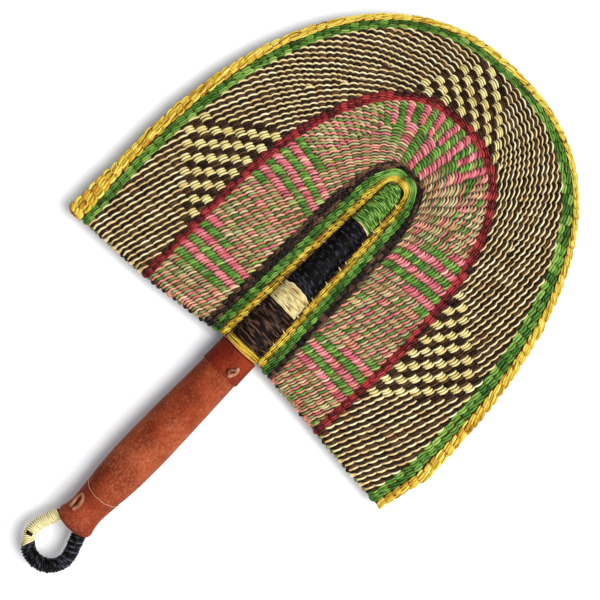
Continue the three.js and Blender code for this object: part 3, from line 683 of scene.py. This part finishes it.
CREAM_BROWN_KEYS = ("cream", "brown", "pale")
PINK_GREEN_KEYS = ("pink", "salmon", "beige", "green", "olive", "sage", "lime")
PINKS, PINK_SHARES = (0, 1, 2), (0.16, 0.64, 0.2)
GREENS, GREEN_SHARES = (3, 4, 5, 6), (0.08, 0.52, 0.34, 0.06)
SWAPPED, PURE = 0.1, 0.9  # shares of stitches out of order, and of striped ones in full colour


def pink_green_stitches(row, r):
    """Pink and green stripes a spoke wide, and between them faded stitches that shift by row."""
    striped = in_stripes(row)
    order = np.arange(len(striped))
    green = (order + np.where(striped, 0, r)) % 2 == 0
    green ^= ~striped & (rng.random(len(order)) < SWAPPED)
    pure = striped & (rng.random(len(order)) < PURE)
    pinks = np.where(pure, PINKS[0], rng.choice(PINKS, len(order), p=PINK_SHARES))
    greens = np.where(pure, GREENS[0], rng.choice(GREENS, len(order), p=GREEN_SHARES))
    widths = rng.normal(1.0, 0.1, (2, len(order))) * np.where(striped, 0.92, np.where(green, 0.82, 0.77))
    return np.where(green, greens, pinks), np.where(green, pinks, greens), widths


def cream_brown_stitches(row, r):
    """Cream lines one row high that rise by a spoke each row, and checks three rows high in the wedges."""
    checkered = in_wedge(row)
    order = np.arange(len(checkered))
    cream = (order + np.where(checkered, r // 3, r)) % 2 == 0
    light = np.where(checkered, 2, 0)
    widths = rng.normal(1.0, 0.1, (2, len(order))) * np.where(checkered | ~cream, 0.94, 0.79)
    return np.where(cream, light, 1), np.where(cream, 1, light), widths


plain_band("inner_yellow", "yellow_straw", 0, 2, ("gold", "yellow"), shares=(0.75, 0.25))
plain_band("inner_green", "green_straw", 1, 2, ("deep_green", "green"), shares=(0.4, 0.6))
plain_band("dark_brown", "brown_straw", 2, 3, ("dark",), spread=0.28)
wide_field(
    "pink_green", 3, INNER_ROWS, PINK_GREEN_KEYS, pink_green_stitches,
    scatter=0.3, spread=0.2, lean=0.52, jitter=0.07, height=1.35, neck=0.26,
)
plain_band("crimson", "crimson_straw", 4, 2, ("crimson",), spread=0.3)
wide_field("cream_brown", 5, OUTER_ROWS, CREAM_BROWN_KEYS, cream_brown_stitches, jitter=0.06, neck=0.3)
plain_band("outer_green", "green_straw", 6, 2, ("deep_green", "green"), shares=(0.85, 0.15))


# Brown among the pink and green field's turns, and olive among the cream and brown field's, stand for painted
# shade on the folded straw.
HEM_LOOPS = (  # name, slot, band, rows and colours of the turns between its rows
    ("green_hem_loops", "green_straw", 1, 2, ("deep_green",)),
    ("dark_hem_loops", "brown_straw", 2, 3, ("dark",)),
    ("pink_green_hem_loops", "pink_green_straw", 3, INNER_ROWS, ("olive", "sage", "salmon", "brown")),
    ("crimson_hem_loops", "crimson_straw", 4, 2, ("crimson",)),
    ("cream_brown_hem_loops", "cream_brown_straw", 5, OUTER_ROWS, ("brown", "cream", "olive")),
    ("outer_green_hem_loops", "green_straw", 6, 2, ("deep_green",)),
)
HEM_LOOP_SIZES = (0.92, 0.56, 0.2)  # half widths of the straws of a turn, in rows
HEM_LOOP_REACH = 3.7
HEM_LOOP_INSET = 0.6


def hem_loop(strands, row, side, rows, colours):
    """One rounded turn of straws that joins two rows at their feet."""
    angle = np.linspace(0, np.pi, 14)
    foot = HEM_LOOP_INSET if side == 0 else row.run[-1] - HEM_LOOP_INSET
    centre, normal, along, width = row.at(np.array([foot]))
    down = along * (-1, 1)[side]
    pitch = width[0] / rows
    reach = HEM_LOOP_REACH + rng.normal(0, 0.15)
    colour = rng.integers(colours)
    for size in HEM_LOOP_SIZES:
        deep = reach * (0.6 + 0.4 * size / HEM_LOOP_SIZES[0])
        xy = centre + np.outer(size * pitch * np.cos(angle), normal) + np.outer(deep * np.sin(angle), down)
        tone = np.clip(rng.normal(0.4, 0.15), 0, 1)
        strands.add(with_z(xy), Z_AXIS, 1.2 + 0.7 * np.sin(angle), 0.2 * pitch, index=colour, tone=tone)


def hem_loops():
    for name, slot, k, rows, keys in HEM_LOOPS:
        strands = Strands()
        for side in (0, 1):
            for pair in range(rows // 2):
                hem_loop(strands, Row(k, (2 * pair + 1) / rows), side, rows, len(keys))
        strands.build(name, keys, slot)


SWEEP_STRAWS = 4
SWEEPS = (  # name, slot, band, colour, and from where to where its straws cross the top
    ("yellow_top_straws", "yellow_straw", 0, "gold", ((-11.4, -2.2), (-1.6, 9.2))),
    ("green_top_straws", "green_straw", 1, "green", ((-13.6, -2.4), (1.0, 12.2))),
)


def top_sweeps():
    """Long straws that lie over the stitches where the first two bands turn over the spine."""
    share = np.linspace(0, 1, 16)
    bowed = np.sin(np.pi * np.clip(share, 0.02, 0.98))
    for name, slot, k, key, spans in SWEEPS:
        strands = Strands()
        for start, end in spans:
            for place in range(SWEEP_STRAWS):
                row = Row(k, (place + 0.5) / SWEEP_STRAWS)
                arch = row.points[:, 1] > LINES[k].shoulders[0] + 4
                x = start + rng.normal(0, 0.5) + (end - start + rng.normal(0, 0.5)) * share
                centre, normal, _, width = row.at(np.interp(x, row.points[arch][:, 0], row.run[arch]))
                xy = centre + normal * (0.08 * width * (bowed - 0.5))[:, None]
                half = 0.5 * width / SWEEP_STRAWS * (0.6 + 0.5 * bowed)
                # The tone rises with the bow: lighter where the straw stands highest, darker at its ends, as
                # painted light and shade.
                tone = np.clip(0.35 + 0.35 * bowed + rng.normal(0, 0.12), 0, 1)
                strands.add(with_z(xy, 1.2 + 1.5 * bowed**0.4), with_z(normal), half, 0.6, tone=tone)
        strands.build(name, (key,), slot)


FIELD_SHARES = (0.02, 0.2, 0.4, 0.6, 0.8, 0.98)
SPLINT_PLACES = (  # band, and the shares of its width at which each spoke has a point
    (0, (-0.1, 0.5)), (1, (0.5,)), (2, (0.5,)), (3, FIELD_SHARES), (4, (0.5,)), (5, FIELD_SHARES),
    (6, (0.5, 0.95)), (7, (0.4,)),
)


def spoke_splints():
    """The flat spokes between the rows' front and back, each a path through its stations."""
    places = {}
    for k, shares in SPLINT_PLACES:
        for share in shares:
            row = Row(k, share)
            centre, _, _, _ = row.at(row.stations)
            for spoke, (x, y), gap in zip(row.ids, centre, np.gradient(row.stations)):
                places.setdefault(spoke, []).append((x, y, 0.0, 0.55 * gap))
    strands = Strands()
    for stations in map(np.array, places.values()):
        along = np.gradient(stations[:, :3], axis=0)
        tone = rng.uniform(0.2, 0.6)
        strands.add(stations[:, :3], np.cross(Z_AXIS, along), stations[:, 3], 0.32, tone=tone)
    strands.build("spoke_splints", ("spoke",), "bare_stalk")


# Plait round the rim: bundles of straws that come out from under one another, front and back, with
# a lashing straw round the rim where each bundle ends, and short straws across the bundles
PLAIT_REPEAT = 6.3
BUNDLE_STRAWS = 5
BUNDLE_TUCK = 1.6  # how far a bundle starts under the one before
BUNDLE_STEPS = np.array([0.0, 0.1, 0.22, 0.36, 0.5, 0.64, 0.78, 0.88, 0.95, 1.0])
BUNDLE_HEIGHTS = np.array([1.1, 1.7, 2.35, 2.75, 2.85, 2.85, 2.7, 2.45, 2.1, 1.5])
BUNDLE_SPREAD = np.array([0.6, 0.72, 0.88, 1.0, 1.06, 1.08, 1.04, 0.96, 0.86, 0.74])
LEAN_PLACES, LEANS = (0, 0.25, 0.4, 0.9, 1), (0.1, 0.16, 0.3, 0.3, 0.16)  # outwards, in widths, round the rim
FLECKS_PER_BUNDLE, FLECK_STEPS = 3, np.linspace(0, 1, 5)
LASHING_OUT, LASHING_UP = 0.44, 2.3  # in widths of the rim, and in millimetres
END_INSET = 0.3
FOOT_SHADE, END_SHADE = 0.3 * (BUNDLE_STEPS < 0.2), 0.25 * (BUNDLE_STEPS > 0.9)


def rim_path(row, distance, place, z):
    """A path along the rim and past its feet, with its wide direction and the rim's width there.
    place is how far out it lies, in widths."""
    low, high = END_INSET, row.run[-1] - END_INSET
    centre, normal, _, width = row.at(np.clip(distance, low, high))
    centre[:, 1] -= np.clip(low - distance, 0, None) + np.clip(distance - high, 0, None)
    return with_z(centre + normal * (width * place)[:, None], z), with_z(normal), width


def rim_bundle(strands, row, face, ends, low, high):
    """The straws of one bundle, on one face of the rim, which has these ends."""
    middle = ((low + high) / 2 - ends[0]) / (ends[1] - ends[0])
    lean = np.interp(middle, LEAN_PLACES, LEANS) + rng.normal(0, 0.06)
    # Bundles towards the tip of the rim are lighter: painted light.
    painted_light_at_tip = 0.3 * math.sin(math.pi * middle) ** 4
    slim = np.sin(np.pi * np.clip(BUNDLE_STEPS, 0.03, 0.97)) ** 0.6
    for straw_number in range(BUNDLE_STRAWS):
        start = max(low - BUNDLE_TUCK, ends[0] + END_INSET)
        end = min(high + rng.normal(0.6, 0.8), ends[1] - END_INSET)
        place = (straw_number + 0.5) / BUNDLE_STRAWS - 0.5 + rng.normal(0, 0.035)
        out = place * BUNDLE_SPREAD * (0.95 - 0.4 * lean) + lean * (BUNDLE_STEPS - 0.5)
        z = face * BUNDLE_HEIGHTS * (1 - 1.1 * place**2 + rng.normal(0, 0.05))
        path, across, width = rim_path(row, start + (end - start) * BUNDLE_STEPS, out, z)
        tone = np.clip(rng.normal(0.52, 0.27) + painted_light_at_tip - FOOT_SHADE - END_SHADE, 0, 1)
        # Most straws take the amber straw at their foot: painted shade where the bundle comes out from under
        # the one before.
        root = ((BUNDLE_STEPS < 0.15) & (rng.random() < 0.7)).astype(int)
        half = width / BUNDLE_STRAWS * (0.28 + 0.24 * slim)
        strands.add(path, across, half, 0.55, index=root, tone=tone, twist=0.1)


def rim_fleck(strands, row, face, start):
    """A short straw that lies across the bundles."""
    distance = start + rng.uniform(2.0, 4.2) * FLECK_STEPS
    place = rng.uniform(-0.42, 0.1) + rng.uniform(0.12, 0.36) * FLECK_STEPS
    z = face * (3.0 - 3.2 * place**2 - 1.2 * (2 * FLECK_STEPS - 1) ** 4)
    path, across, _ = rim_path(row, distance, place, z)
    half, amber, tone = rng.uniform(0.22, 0.42), rng.random() < 0.35, rng.uniform(0.1, 0.95)
    strands.add(path, across, half, 0.3, index=int(amber), tone=tone)


def rim_lashing(strands, row, at):
    """A straw round the rim."""
    angle = np.linspace(0, 2 * np.pi, 24, endpoint=False)
    distance = at + 0.35 * np.sin(3 * angle + phase()) + rng.normal(0, 0.2)
    path, _, _ = rim_path(row, distance, LASHING_OUT * np.cos(angle), LASHING_UP * np.sin(angle))
    strands.add(path, Y_AXIS, 0.5, 0.4, index=1, tone=rng.uniform(0.2, 0.6), closed=True)


def rim_plait():
    strands = Strands()
    row = Row(7, 0.5)
    ends = (-BLADE_HALF - PLAIT_OVERHANG[0], row.run[-1] + BLADE_HALF + PLAIT_OVERHANG[1])
    bundles = int(round((ends[1] - ends[0]) / PLAIT_REPEAT))
    places = np.linspace(*ends, bundles + 1)
    for face in (1, -1):
        for low, high in zip(places, places[1:]):
            rim_bundle(strands, row, face, ends, low, high)
    for face in (1, -1):
        for _ in range(FLECKS_PER_BUNDLE * bundles):
            rim_fleck(strands, row, face, rng.uniform(ends[0] + 1, ends[1] - 5))
    for place in places[1:-1]:
        rim_lashing(strands, row, place)
    strands.build("rim_plait", ("yellow", "amber"), "yellow_straw", "yellow_edge_plait")


FILLING_OUT, FILLING_HALF = -0.02, 0.42  # its middle and half its width, in widths of the rim
FILLING_INSET, FILLING_POINTS = 0.4, 240


def rim_filling():
    """A plain closed body along the rim, inside the plait's straws, in dark amber that is painted shade."""
    strands = Strands(8)
    row = Row(7, 0.5)
    distance = np.linspace(FILLING_INSET, row.run[-1] - FILLING_INSET, FILLING_POINTS)
    path, across, width = rim_path(row, distance, FILLING_OUT, 0.0)
    strands.add(path, across, width * FILLING_HALF, 1.5, tone=0.2)
    strands.build("rim_filling", ("amber",), "yellow_straw")


hem_loops()
top_sweeps()
spoke_splints()
rim_plait()
rim_filling()

# Spine
SPINE_FLATNESS = 0.78
SPINE_INSET = 0.3  # from the innermost line to the spine's side
ARCH_THINNING = 0.82  # least thickness in the spine's arch, as a share of that below it


def spine_half_width(y):
    foot, waist, shoulder, power = on_side(LINES[0], 0)
    below = foot + (waist - foot) * np.clip(y, 0, None) / shoulder
    rise = np.clip((y - shoulder) / (LINES[0].apex - shoulder), 0, 1)
    return np.where(y < shoulder, below, waist * (1 - rise**power) ** (1 / power)) - SPINE_INSET


def spine_half_thickness(y):
    least = np.where(y > LINES[0].shoulders[0], (LINES[0].waists[0] - SPINE_INSET) * ARCH_THINNING, 0)
    return SPINE_FLATNESS * np.maximum(spine_half_width(y), least)


def spine_core(strands, rings, inset, index, tone):
    """What lies below a winding, from ring to ring up the spine, dark with painted shade."""
    inner = np.outer(rings, Y_AXIS)
    strands.add(
        inner, X_AXIS, spine_half_width(rings) - inset, spine_half_thickness(rings) - inset,
        index=index, tone=tone,
    )


def spine_wrap(
    colour, bottom, top, *, pitch, arches, proud=0.0, tilt=0.08, streak=(3, 10), contrast=0.55,
    pale=lambda turn, angle: 0,
):
    """Straw wound round the spine. arches says how much lower a turn is at its sides than in front,
    at the bottom and at the top, and streak how often the tone changes round a turn. pale(turn,
    angle) is 1 where the straw is a pale one."""
    half = 0.6
    turns = max(int(round((top - bottom) / pitch)), 1)
    angle, share, turn = winding(turns, 84)
    y = bottom + pitch / 2 + (top - bottom - pitch) * share
    a = spine_half_width(y) - half + proud
    b = spine_half_thickness(y) - half + proud
    stray = sum(rng.uniform(0.5, 1) * np.sin(rng.uniform(2, 10) * angle + phase()) for _ in range(5))
    thin = sum(np.sin(rng.uniform(4, 12) * angle + phase()) for _ in range(3)) / 3
    arch = (arches[0] + (arches[1] - arches[0]) * share) * np.sin(angle) ** 2
    path = round_axis(angle, y - tilt * a * np.sin(angle) - arch + 0.1 * pitch * stray, a, b)
    streaks = sum(np.sin(rng.uniform(*streak) * angle + phase(turns + 2)[turn]) for _ in range(3)) / 3
    tone = np.clip(rng.normal(0.48, 0.15, turns + 2)[turn] + contrast * streaks, 0, 1)
    strands = Strands()
    strands.add(path, Y_AXIS, pitch * (0.42 + 0.09 * thin), half, index=pale(turn, angle), tone=tone)
    keys = (f"wrap_{colour}", "wrap_cream", "painted_shade_core") if colour == "green" else (f"wrap_{colour}", "painted_shade_core")
    rings = np.array([bottom + 0.1, *np.linspace(bottom + 0.3, top - 0.3, 12), top - 0.1])
    spine_core(strands, rings, 0.9, len(keys) - 1, 0.3)
    strands.build(f"{colour}_spine_straws", keys, f"{colour}_straw", f"{colour}_spine_wrap")


def first_turn_in_front(turn, angle):
    """The first turn, where it is seen in front on the right."""
    return np.where((turn == 0) & (np.sin(angle) > -0.4), 1, 0)


FOOT_BINDING = (  # height, slope and colour of each straw round the foot
    (5.3, -0.02, 0), (4.4, 0.035, 0), (3.6, -0.045, 0), (2.6, 0.03, 1), (1.7, -0.02, 0), (0.9, 0.0, 2),
)


def foot_binding():
    strands = Strands()
    angle = np.linspace(0, 2 * np.pi, 72, endpoint=False)
    for place, (y, slope, index) in enumerate(FOOT_BINDING):
        out = 0.22 * (place % 2) - 0.3
        a, b = spine_half_width(y) + out, spine_half_thickness(y) + out
        height = y + slope * a * np.sin(angle) + 0.12 * np.sin(3 * angle + 2 * place)
        tone = np.clip(0.5 + 0.25 * np.sin(2 * angle + 3 * place) + rng.normal(0, 0.1), 0, 1)
        strands.add(round_axis(angle, height, a, b), Y_AXIS, 0.6, 0.5, index=index, tone=tone, closed=True)
    spine_core(strands, np.array([0.3, 0.5, 5.6, 5.8]), 0.6, 3, 0.5)
    strands.build("foot_binding_straws", ("gold", "yellow", "orange", "painted_shade_core"), "yellow_straw", "foot_binding")


ROOTS = ((1, 12, 0.5, 1.8), (-1, 8, 0.1, 0.8))  # side, count, and how far they reach inwards
ROOTS_FROM, ROOTS_OVER = 14, 128


def spoke_roots():
    """Short pale ends that show between the spine's windings and the first rows."""
    strands = Strands()
    t = np.linspace(0, 1, 6)
    for side, count, least, most in ROOTS:
        for place in range(count):
            y = ROOTS_FROM + (ROOTS_OVER / count) * (place + rng.uniform(0, 0.7))
            x = float(spine_half_width(y)) + 1.2 - (0.9 + rng.uniform(least, most)) * t
            path = np.stack([side * x, y + 0.7 * t, 2.7 + 1.5 * t], 1)
            tone = rng.uniform(0, 0.5)
            strands.add(path, Y_AXIS, 0.42 * (1 - 0.5 * t), 0.35 * (1 - 0.4 * t), tone=tone)
    strands.build("spoke_roots", ("cream",), "bare_stalk")


foot_binding()
spine_wrap("brown", 5.9, 39.2, pitch=1.4, arches=(0.2, 0.3), contrast=0.38)
spine_wrap("cream", 39, 56.8, pitch=1.22, arches=(0.2, 2.2), proud=0.12, tilt=0.05)
spine_wrap(
    "black", 56.2, 113, pitch=1.15, arches=(2.2, 1.0),
    tilt=0.2, streak=(6, 14), contrast=0.42,
)
spine_wrap(
    "green", 112.6, 148.9, pitch=1.1, arches=(1.0, 1.8),
    tilt=0.16, streak=(3, 9), pale=first_turn_in_front,
)
spoke_roots()

# Handle leathers: heights and radii down the outside of each
GRIP = [
    (-18.9, 13.7), (-22, 13.7), (-39, 14.1), (-65, 14.8), (-91, 15.1), (-112, 14.4), (-127, 13.2),
    (-130.2, 13.0),
]
UPPER_COLLAR = [(-0.1, 14.1), (-9, 14.25), (-18.4, 14.5)]
LOWER_COLLAR = [
    (-130.5, 13.2), (-136.5, 12.2), (-143, 11.7), (-149.5, 12.6), (-153.6, 13.5), (-156.6, 12.0),
    (-158.3, 9.0),
]
FOOT_SEAM = -130.5  # where the grip ends and the lower collar begins, in front and behind
SEAM_LIFT, SEAM_REACH = 3.4, 10.0  # how much higher it is at the sides, and what it draws along
WAVINESS = 0.12
SKIN_SIDES = 96


def smooth_profile(stations, y):
    """A smooth radius through the stations at heights y."""
    ys, rs = np.array(stations[::-1], float).T
    slopes = np.gradient(rs, ys)
    i = np.clip(np.searchsorted(ys, y) - 1, 0, len(ys) - 2)
    h = ys[i + 1] - ys[i]
    t = (y - ys[i]) / h
    return (
        (2 * t**3 - 3 * t**2 + 1) * rs[i] + (t**3 - 2 * t**2 + t) * h * slopes[i]
        + (-2 * t**3 + 3 * t**2) * rs[i + 1] + (t**3 - t**2) * h * slopes[i + 1]
    )


def ripple(angle, y, seed):
    """Low waves over a turned surface."""
    draw = np.random.default_rng(seed)
    total = np.zeros(y.shape)
    for _ in range(14):
        around, up = draw.integers(1, 7), draw.uniform(0.02, 0.35)
        swing = draw.normal() * np.sin(around * angle + draw.uniform(0, 6.3))
        total += swing * np.sin(up * y + draw.uniform(0, 6.3))
    return WAVINESS * total / 4


def lift_of(angle, y):
    near = np.clip(1 - np.abs(y - FOOT_SEAM) / SEAM_REACH, 0, 1)
    return SEAM_LIFT * np.abs(np.sin(angle)) ** 2.5 * near


def skin(name, slot, node, key, outside, inside, *, seed):
    """A closed body turned round the handle's axis, from rows of height, radius and share of the waves."""
    outline = np.array(outside + inside, float)
    y, radius, share = (column[:, None] for column in outline.T)
    angle = 2 * np.pi * np.arange(SKIN_SIDES) / SKIN_SIDES
    y = y + 0 * angle
    radius = radius + ripple(angle, y, seed) * share
    points = round_axis(angle, y + lift_of(angle, y), radius, radius).reshape(-1, 3)
    quads = ring_quads(len(outline), SKIN_SIDES, len(outline))
    ride(new_object(name, points, quads, (key,)), slot, node)


def outside_of(stations, count):
    y = np.linspace(stations[0][0], stations[-1][0], count)
    return [(height, radius, 1.0) for height, radius in zip(y, smooth_profile(stations, y))]


def grip():
    inside = [
        (-131.0, 11.2, 0.2), (-136.0, 10.6, 0.0), (-136.0, 9.6, 0.0), (-130.0, 10.8, 0.0),
        (-60.0, 12.6, 0.0), (-20.0, 11.6, 0.0), (-0.8, 11.2, 0.0), (-0.8, 12.4, 0.0), (-18.0, 12.5, 0.0),
    ]
    skin("grip_skin", "suede_leather", "grip_leather", "suede", outside_of(GRIP, 140), inside, seed=3)


def rounded_top(outside):
    """The outside of a collar with its upper edge rounded off."""
    (top, radius, _), (_, second, _) = outside[:2]
    return [(top, radius - 0.35, 1.0), (top - 0.25, second, 1.0)] + outside[1:]


def collars():
    outside = outside_of(UPPER_COLLAR, 60)
    (top, first, _), (low, last, _) = outside[0], outside[-1]
    inside = [(low, last - 1.2, 0.6), (top, first - 1.2, 0.6)]
    outside = rounded_top(outside)
    skin("upper_collar_skin", "dark_leather", "upper_collar", "collar", outside, inside, seed=5)
    outside = outside_of(LOWER_COLLAR, 60)
    top, low = outside[0][0], outside[-1][0]
    inside = [(low, 0.01, 0.0), (low + 1.5, 0.01, 0.0), (low + 1.5, 7.8, 0.0)]
    inside += [(-150, 11.2, 0.0), (-136, 10.9, 0.0), (top, 11.9, 0.0)]
    outside = rounded_top(outside)
    skin("lower_collar_skin", "suede_leather", "lower_collar", "cup", outside, inside, seed=8)


def edge_ring(name, key, *, y, radius, start, end, half, wave):
    """A cut edge that runs round the handle from one angle to another."""
    angle = np.linspace(start, end, 120)
    height = y + wave * np.sin(3 * angle + 1) + 0.4 * wave * np.sin(11 * angle) + lift_of(angle, y)
    strands = Strands()
    strands.add(round_axis(angle, height, radius, radius), Y_AXIS, half, half)
    strands.build(name, (key,), "lace_leather")


grip()
collars()
edge_ring("upper_collar_edge", "cut", y=-18.5, radius=14.3, start=-1.9, end=0.6, half=0.2, wave=0.25)
edge_ring("lower_collar_edge", "raw", y=-130.6, radius=13.1, start=-3.1, end=3.1, half=0.22, wave=0.2)


# Laces
def between(a, b, low, high, t):
    """From a at low to b at high, in a straight line."""
    return (high - t) / (high - low) * a + (t - low) / (high - low) * b


def along_points(points, count):
    """Centripetal curve through points, evenly spaced, as in the part."""
    points = np.asarray(points, float)
    p = np.concatenate([[2 * points[0] - points[1]], points, [2 * points[-1] - points[-2]]])
    knots = np.concatenate([[0], np.cumsum(np.linalg.norm(np.diff(p, axis=0), axis=1) ** 0.5)])
    made = [points[:1]]
    for i in range(len(points) - 1):
        k = knots[i:i + 4]
        t = np.linspace(k[1], k[2], 24)[:, None]
        a = [between(p[i + j], p[i + j + 1], k[j], k[j + 1], t) for j in range(3)]
        b = [between(a[j], a[j + 1], k[j], k[j + 2], t) for j in range(2)]
        made.append(between(b[0], b[1], k[1], k[2], t)[1:])
    return evenly(np.concatenate(made), count)


LACE_SAMPLES = 60
LACE_DEPTH, LACE_RISE = -0.6, 1.15  # of a lace's ends below the leather, and of its middle above it


def lace(name, node, places, stations, half_width=1.15, half_height=1.0, key="lace"):
    """A lace over the leather, through places given as angle, height and lift."""
    places = [(*places[0][:2], LACE_DEPTH - LACE_RISE), *places, (*places[-1][:2], LACE_DEPTH - LACE_RISE)]
    angle, y, lift = np.array(places).T
    radius = smooth_profile(stations, y) + LACE_RISE + lift
    path = along_points(round_axis(angle, y, radius, radius), LACE_SAMPLES)
    outward = path * (1, 0, 1)
    half = half_width * (0.9 + 0.18 * np.sin(9 * np.linspace(0, 1, LACE_SAMPLES) + 1))
    strands = Strands(8)
    strands.add(path, np.cross(outward, np.gradient(path, axis=0)), half, half_height)
    strands.build(name, (key,), "lace_leather", node)


lace("upper_lace_strip", "upper_lace", [
    (0.5, -8.2, 0), (0.55, -9.6, 0.4), (0.54, -11.8, 0.8), (0.47, -14.0, 0.6), (0.4, -15.6, 0),
], UPPER_COLLAR)
lace("upper_lace_knot", "upper_lace", [
    (0.5, -9.4, 0.3), (0.38, -10.6, 1.2), (0.26, -12.2, 1.2), (0.3, -13.8, 0.9), (0.4, -15.0, 0.2),
], UPPER_COLLAR, half_width=1.0, half_height=0.7, key="knot")
lace("lower_lace_strip", "lower_lace", [
    (-0.76, -146.6, 0), (-0.8, -143.2, 0.3), (-0.82, -139.2, 0.4), (-0.66, -135.8, 0.4),
    (-0.46, -138.4, 0.4), (-0.42, -142.6, 0.3), (-0.52, -146.6, 0),
], LOWER_COLLAR, half_width=1.35)

# Hanging loop
LOOP_RADIUS, LOOP_CENTRE = 14.8, (-1.9, -175.2)
HANDLE_END = -158.3
SOCKET_DEPTH = 10
LOOP_EXIT = 10.35  # where the loop leaves the handle, along its centre line
CREAM_SHARE = 0.36
LOOP_STRAW_HALF = 0.52
LOOP_CORE_DEPTH = 0.75  # below the outside of the winding
PATCH_AT = (-16.6, -179.6)


def loop_centre_line():
    angle = np.pi + np.linspace(0, np.pi, 7)
    arc = np.stack([np.cos(angle), np.sin(angle)], 1) * LOOP_RADIUS + LOOP_CENTRE
    left = [(-8.6, HANDLE_END + SOCKET_DEPTH), (-11.4, HANDLE_END)]
    right = [(7.7, HANDLE_END), (5.2, HANDLE_END + SOCKET_DEPTH)]
    return along_points(with_z(np.concatenate([left, arc, right])), 600)


LOOP_LINE = loop_centre_line()
LOOP_RUN = run_of(LOOP_LINE)
LOOP_CHANGE = LOOP_EXIT + CREAM_SHARE * (LOOP_RUN[-1] - 2 * LOOP_EXIT)  # from cream to black


def loop_wrap(colour, start, end, *, pitch, outer, start_slant, end_slant, shade):
    """Straw wound round the loop between two distances along its centre line."""
    half = LOOP_STRAW_HALF
    turns = int(round((end - start) / pitch))
    angle, share, turn = winding(turns, 20)
    at = start + (end - start) * share + (start_slant + (end_slant - start_slant) * share) * np.sin(angle)
    where, ahead, behind = (at_distance(at + step, LOOP_RUN, LOOP_LINE) for step in (0, 0.5, -0.5))
    along = unit(ahead - behind)
    side = np.cross(along, Z_AXIS)
    radius = (outer - half + rng.normal(0, 0.14, turns + 2)[turn])[:, None]
    path = where + side * radius * np.sin(angle)[:, None] + Z_AXIS * radius * np.cos(angle)[:, None]
    tone = np.clip(rng.normal(shade, 0.28, turns + 2)[turn] + 0.24 * np.sin(4.7 * angle), 0, 1)
    strands = Strands()
    strands.add(path, along, pitch * 0.44, half, tone=tone)
    # The loop's core, dark with painted shade where it shows between the turns.
    painted_shade_core = at_distance(np.linspace(start, end, 60), LOOP_RUN, LOOP_LINE)
    core_radius = outer - LOOP_CORE_DEPTH
    strands.add(painted_shade_core, Z_AXIS, core_radius, core_radius, index=1, tone=0.3)
    keys = (f"wrap_{colour}", "painted_shade_core")
    strands.build(f"{colour}_loop_straws", keys, f"{colour}_straw", f"{colour}_loop_wrap")


def loop_patch():
    """A turn of black straw that shows between the cream windings."""
    at = int(np.argmin(np.linalg.norm(LOOP_LINE[:, :2] - PATCH_AT, axis=1)))
    along = unit(LOOP_LINE[at + 1] - LOOP_LINE[at - 1])
    side = np.cross(along, Z_AXIS)
    angle = np.linspace(-0.6, 0.42, 24)
    bent = 4.2 * (np.outer(np.sin(angle), side) + np.outer(np.cos(angle), Z_AXIS))
    strands = Strands()
    for place in (-0.7, 0.0, 0.7):
        strands.add(LOOP_LINE[at] + along * place + bent, along, 0.5, 0.35, tone=0.3)
    strands.build("loop_patch", ("wrap_black",), "black_straw")


loop_wrap(
    "cream", LOOP_EXIT - 1.6, LOOP_CHANGE,
    pitch=1.3, outer=4.25, start_slant=0.0, end_slant=1.6, shade=0.92,
)
loop_wrap(
    "black", LOOP_CHANGE, LOOP_RUN[-1] - LOOP_EXIT + 1.4,
    pitch=1.75, outer=5.0, start_slant=1.6, end_slant=0.0, shade=0.48,
)
loop_patch()

# Bare stalks, in a brown darkened by painted shade
for key, node in frame["nodes"].items():
    if key.startswith("spoke_") or key in ("core_bundle", "loop_core"):
        node.data.materials.clear()
        node.data.materials.append(MATERIALS["stalk"])


# Floor, light and camera, in metres
def floor():
    mesh = bpy.data.meshes.new("floor")
    size = 4.0
    corners = [(-size, -size, 0), (size, -size, 0), (size, size, 0), (-size, size, 0)]
    mesh.from_pydata(corners, [], [(0, 1, 2, 3)])
    made = bpy.data.objects.new("floor", mesh)
    bpy.context.scene.collection.objects.link(made)
    n = Nodes("floor", roughness=0.9, shine=0.1)
    n.feed(n.shader["Base Color"], (0.86, 0.87, 0.9, 1))
    mesh.materials.append(n.material)


def area_light(name, place, *, target, size, power, colour):
    data = bpy.data.lights.new(name, "AREA")
    data.size = size
    data.energy = power
    data.color = colour
    made = bpy.data.objects.new(name, data)
    made.location = place
    made.rotation_euler = (Vector(target) - Vector(place)).to_track_quat("-Z", "Y").to_euler()
    bpy.context.scene.collection.objects.link(made)


def sky():
    world = bpy.data.worlds.new("world")
    world.use_nodes = True
    background = world.node_tree.nodes["Background"].inputs
    background["Color"].default_value = (0.95, 0.97, 1.0, 1)
    background["Strength"].default_value = 0.48
    bpy.context.scene.world = world


def camera():
    """Straight above the fan, and turned so that the handle points down to the left."""
    made = bpy.data.objects.new("camera", bpy.data.cameras.new("camera"))
    made.data.lens = 85
    made.data.sensor_width = 36
    made.location = (0.00505, 0.0203, 0.936)
    made.rotation_euler = Euler((0, 0, math.radians(44)))
    bpy.context.scene.collection.objects.link(made)
    bpy.context.scene.camera = made


floor()
sky()
area_light(
    "key", (1.0, 0.52, 2.05), target=(0, 0, 0), size=1.35, power=77, colour=(1.0, 0.985, 0.95),
)
area_light(
    "side", (0.42, -0.2, 0.3), target=(0, -0.13, 0.015), size=0.25, power=0.5, colour=(1.0, 0.97, 0.92),
)
camera()
bpy.context.scene.view_settings.view_transform = "Standard"
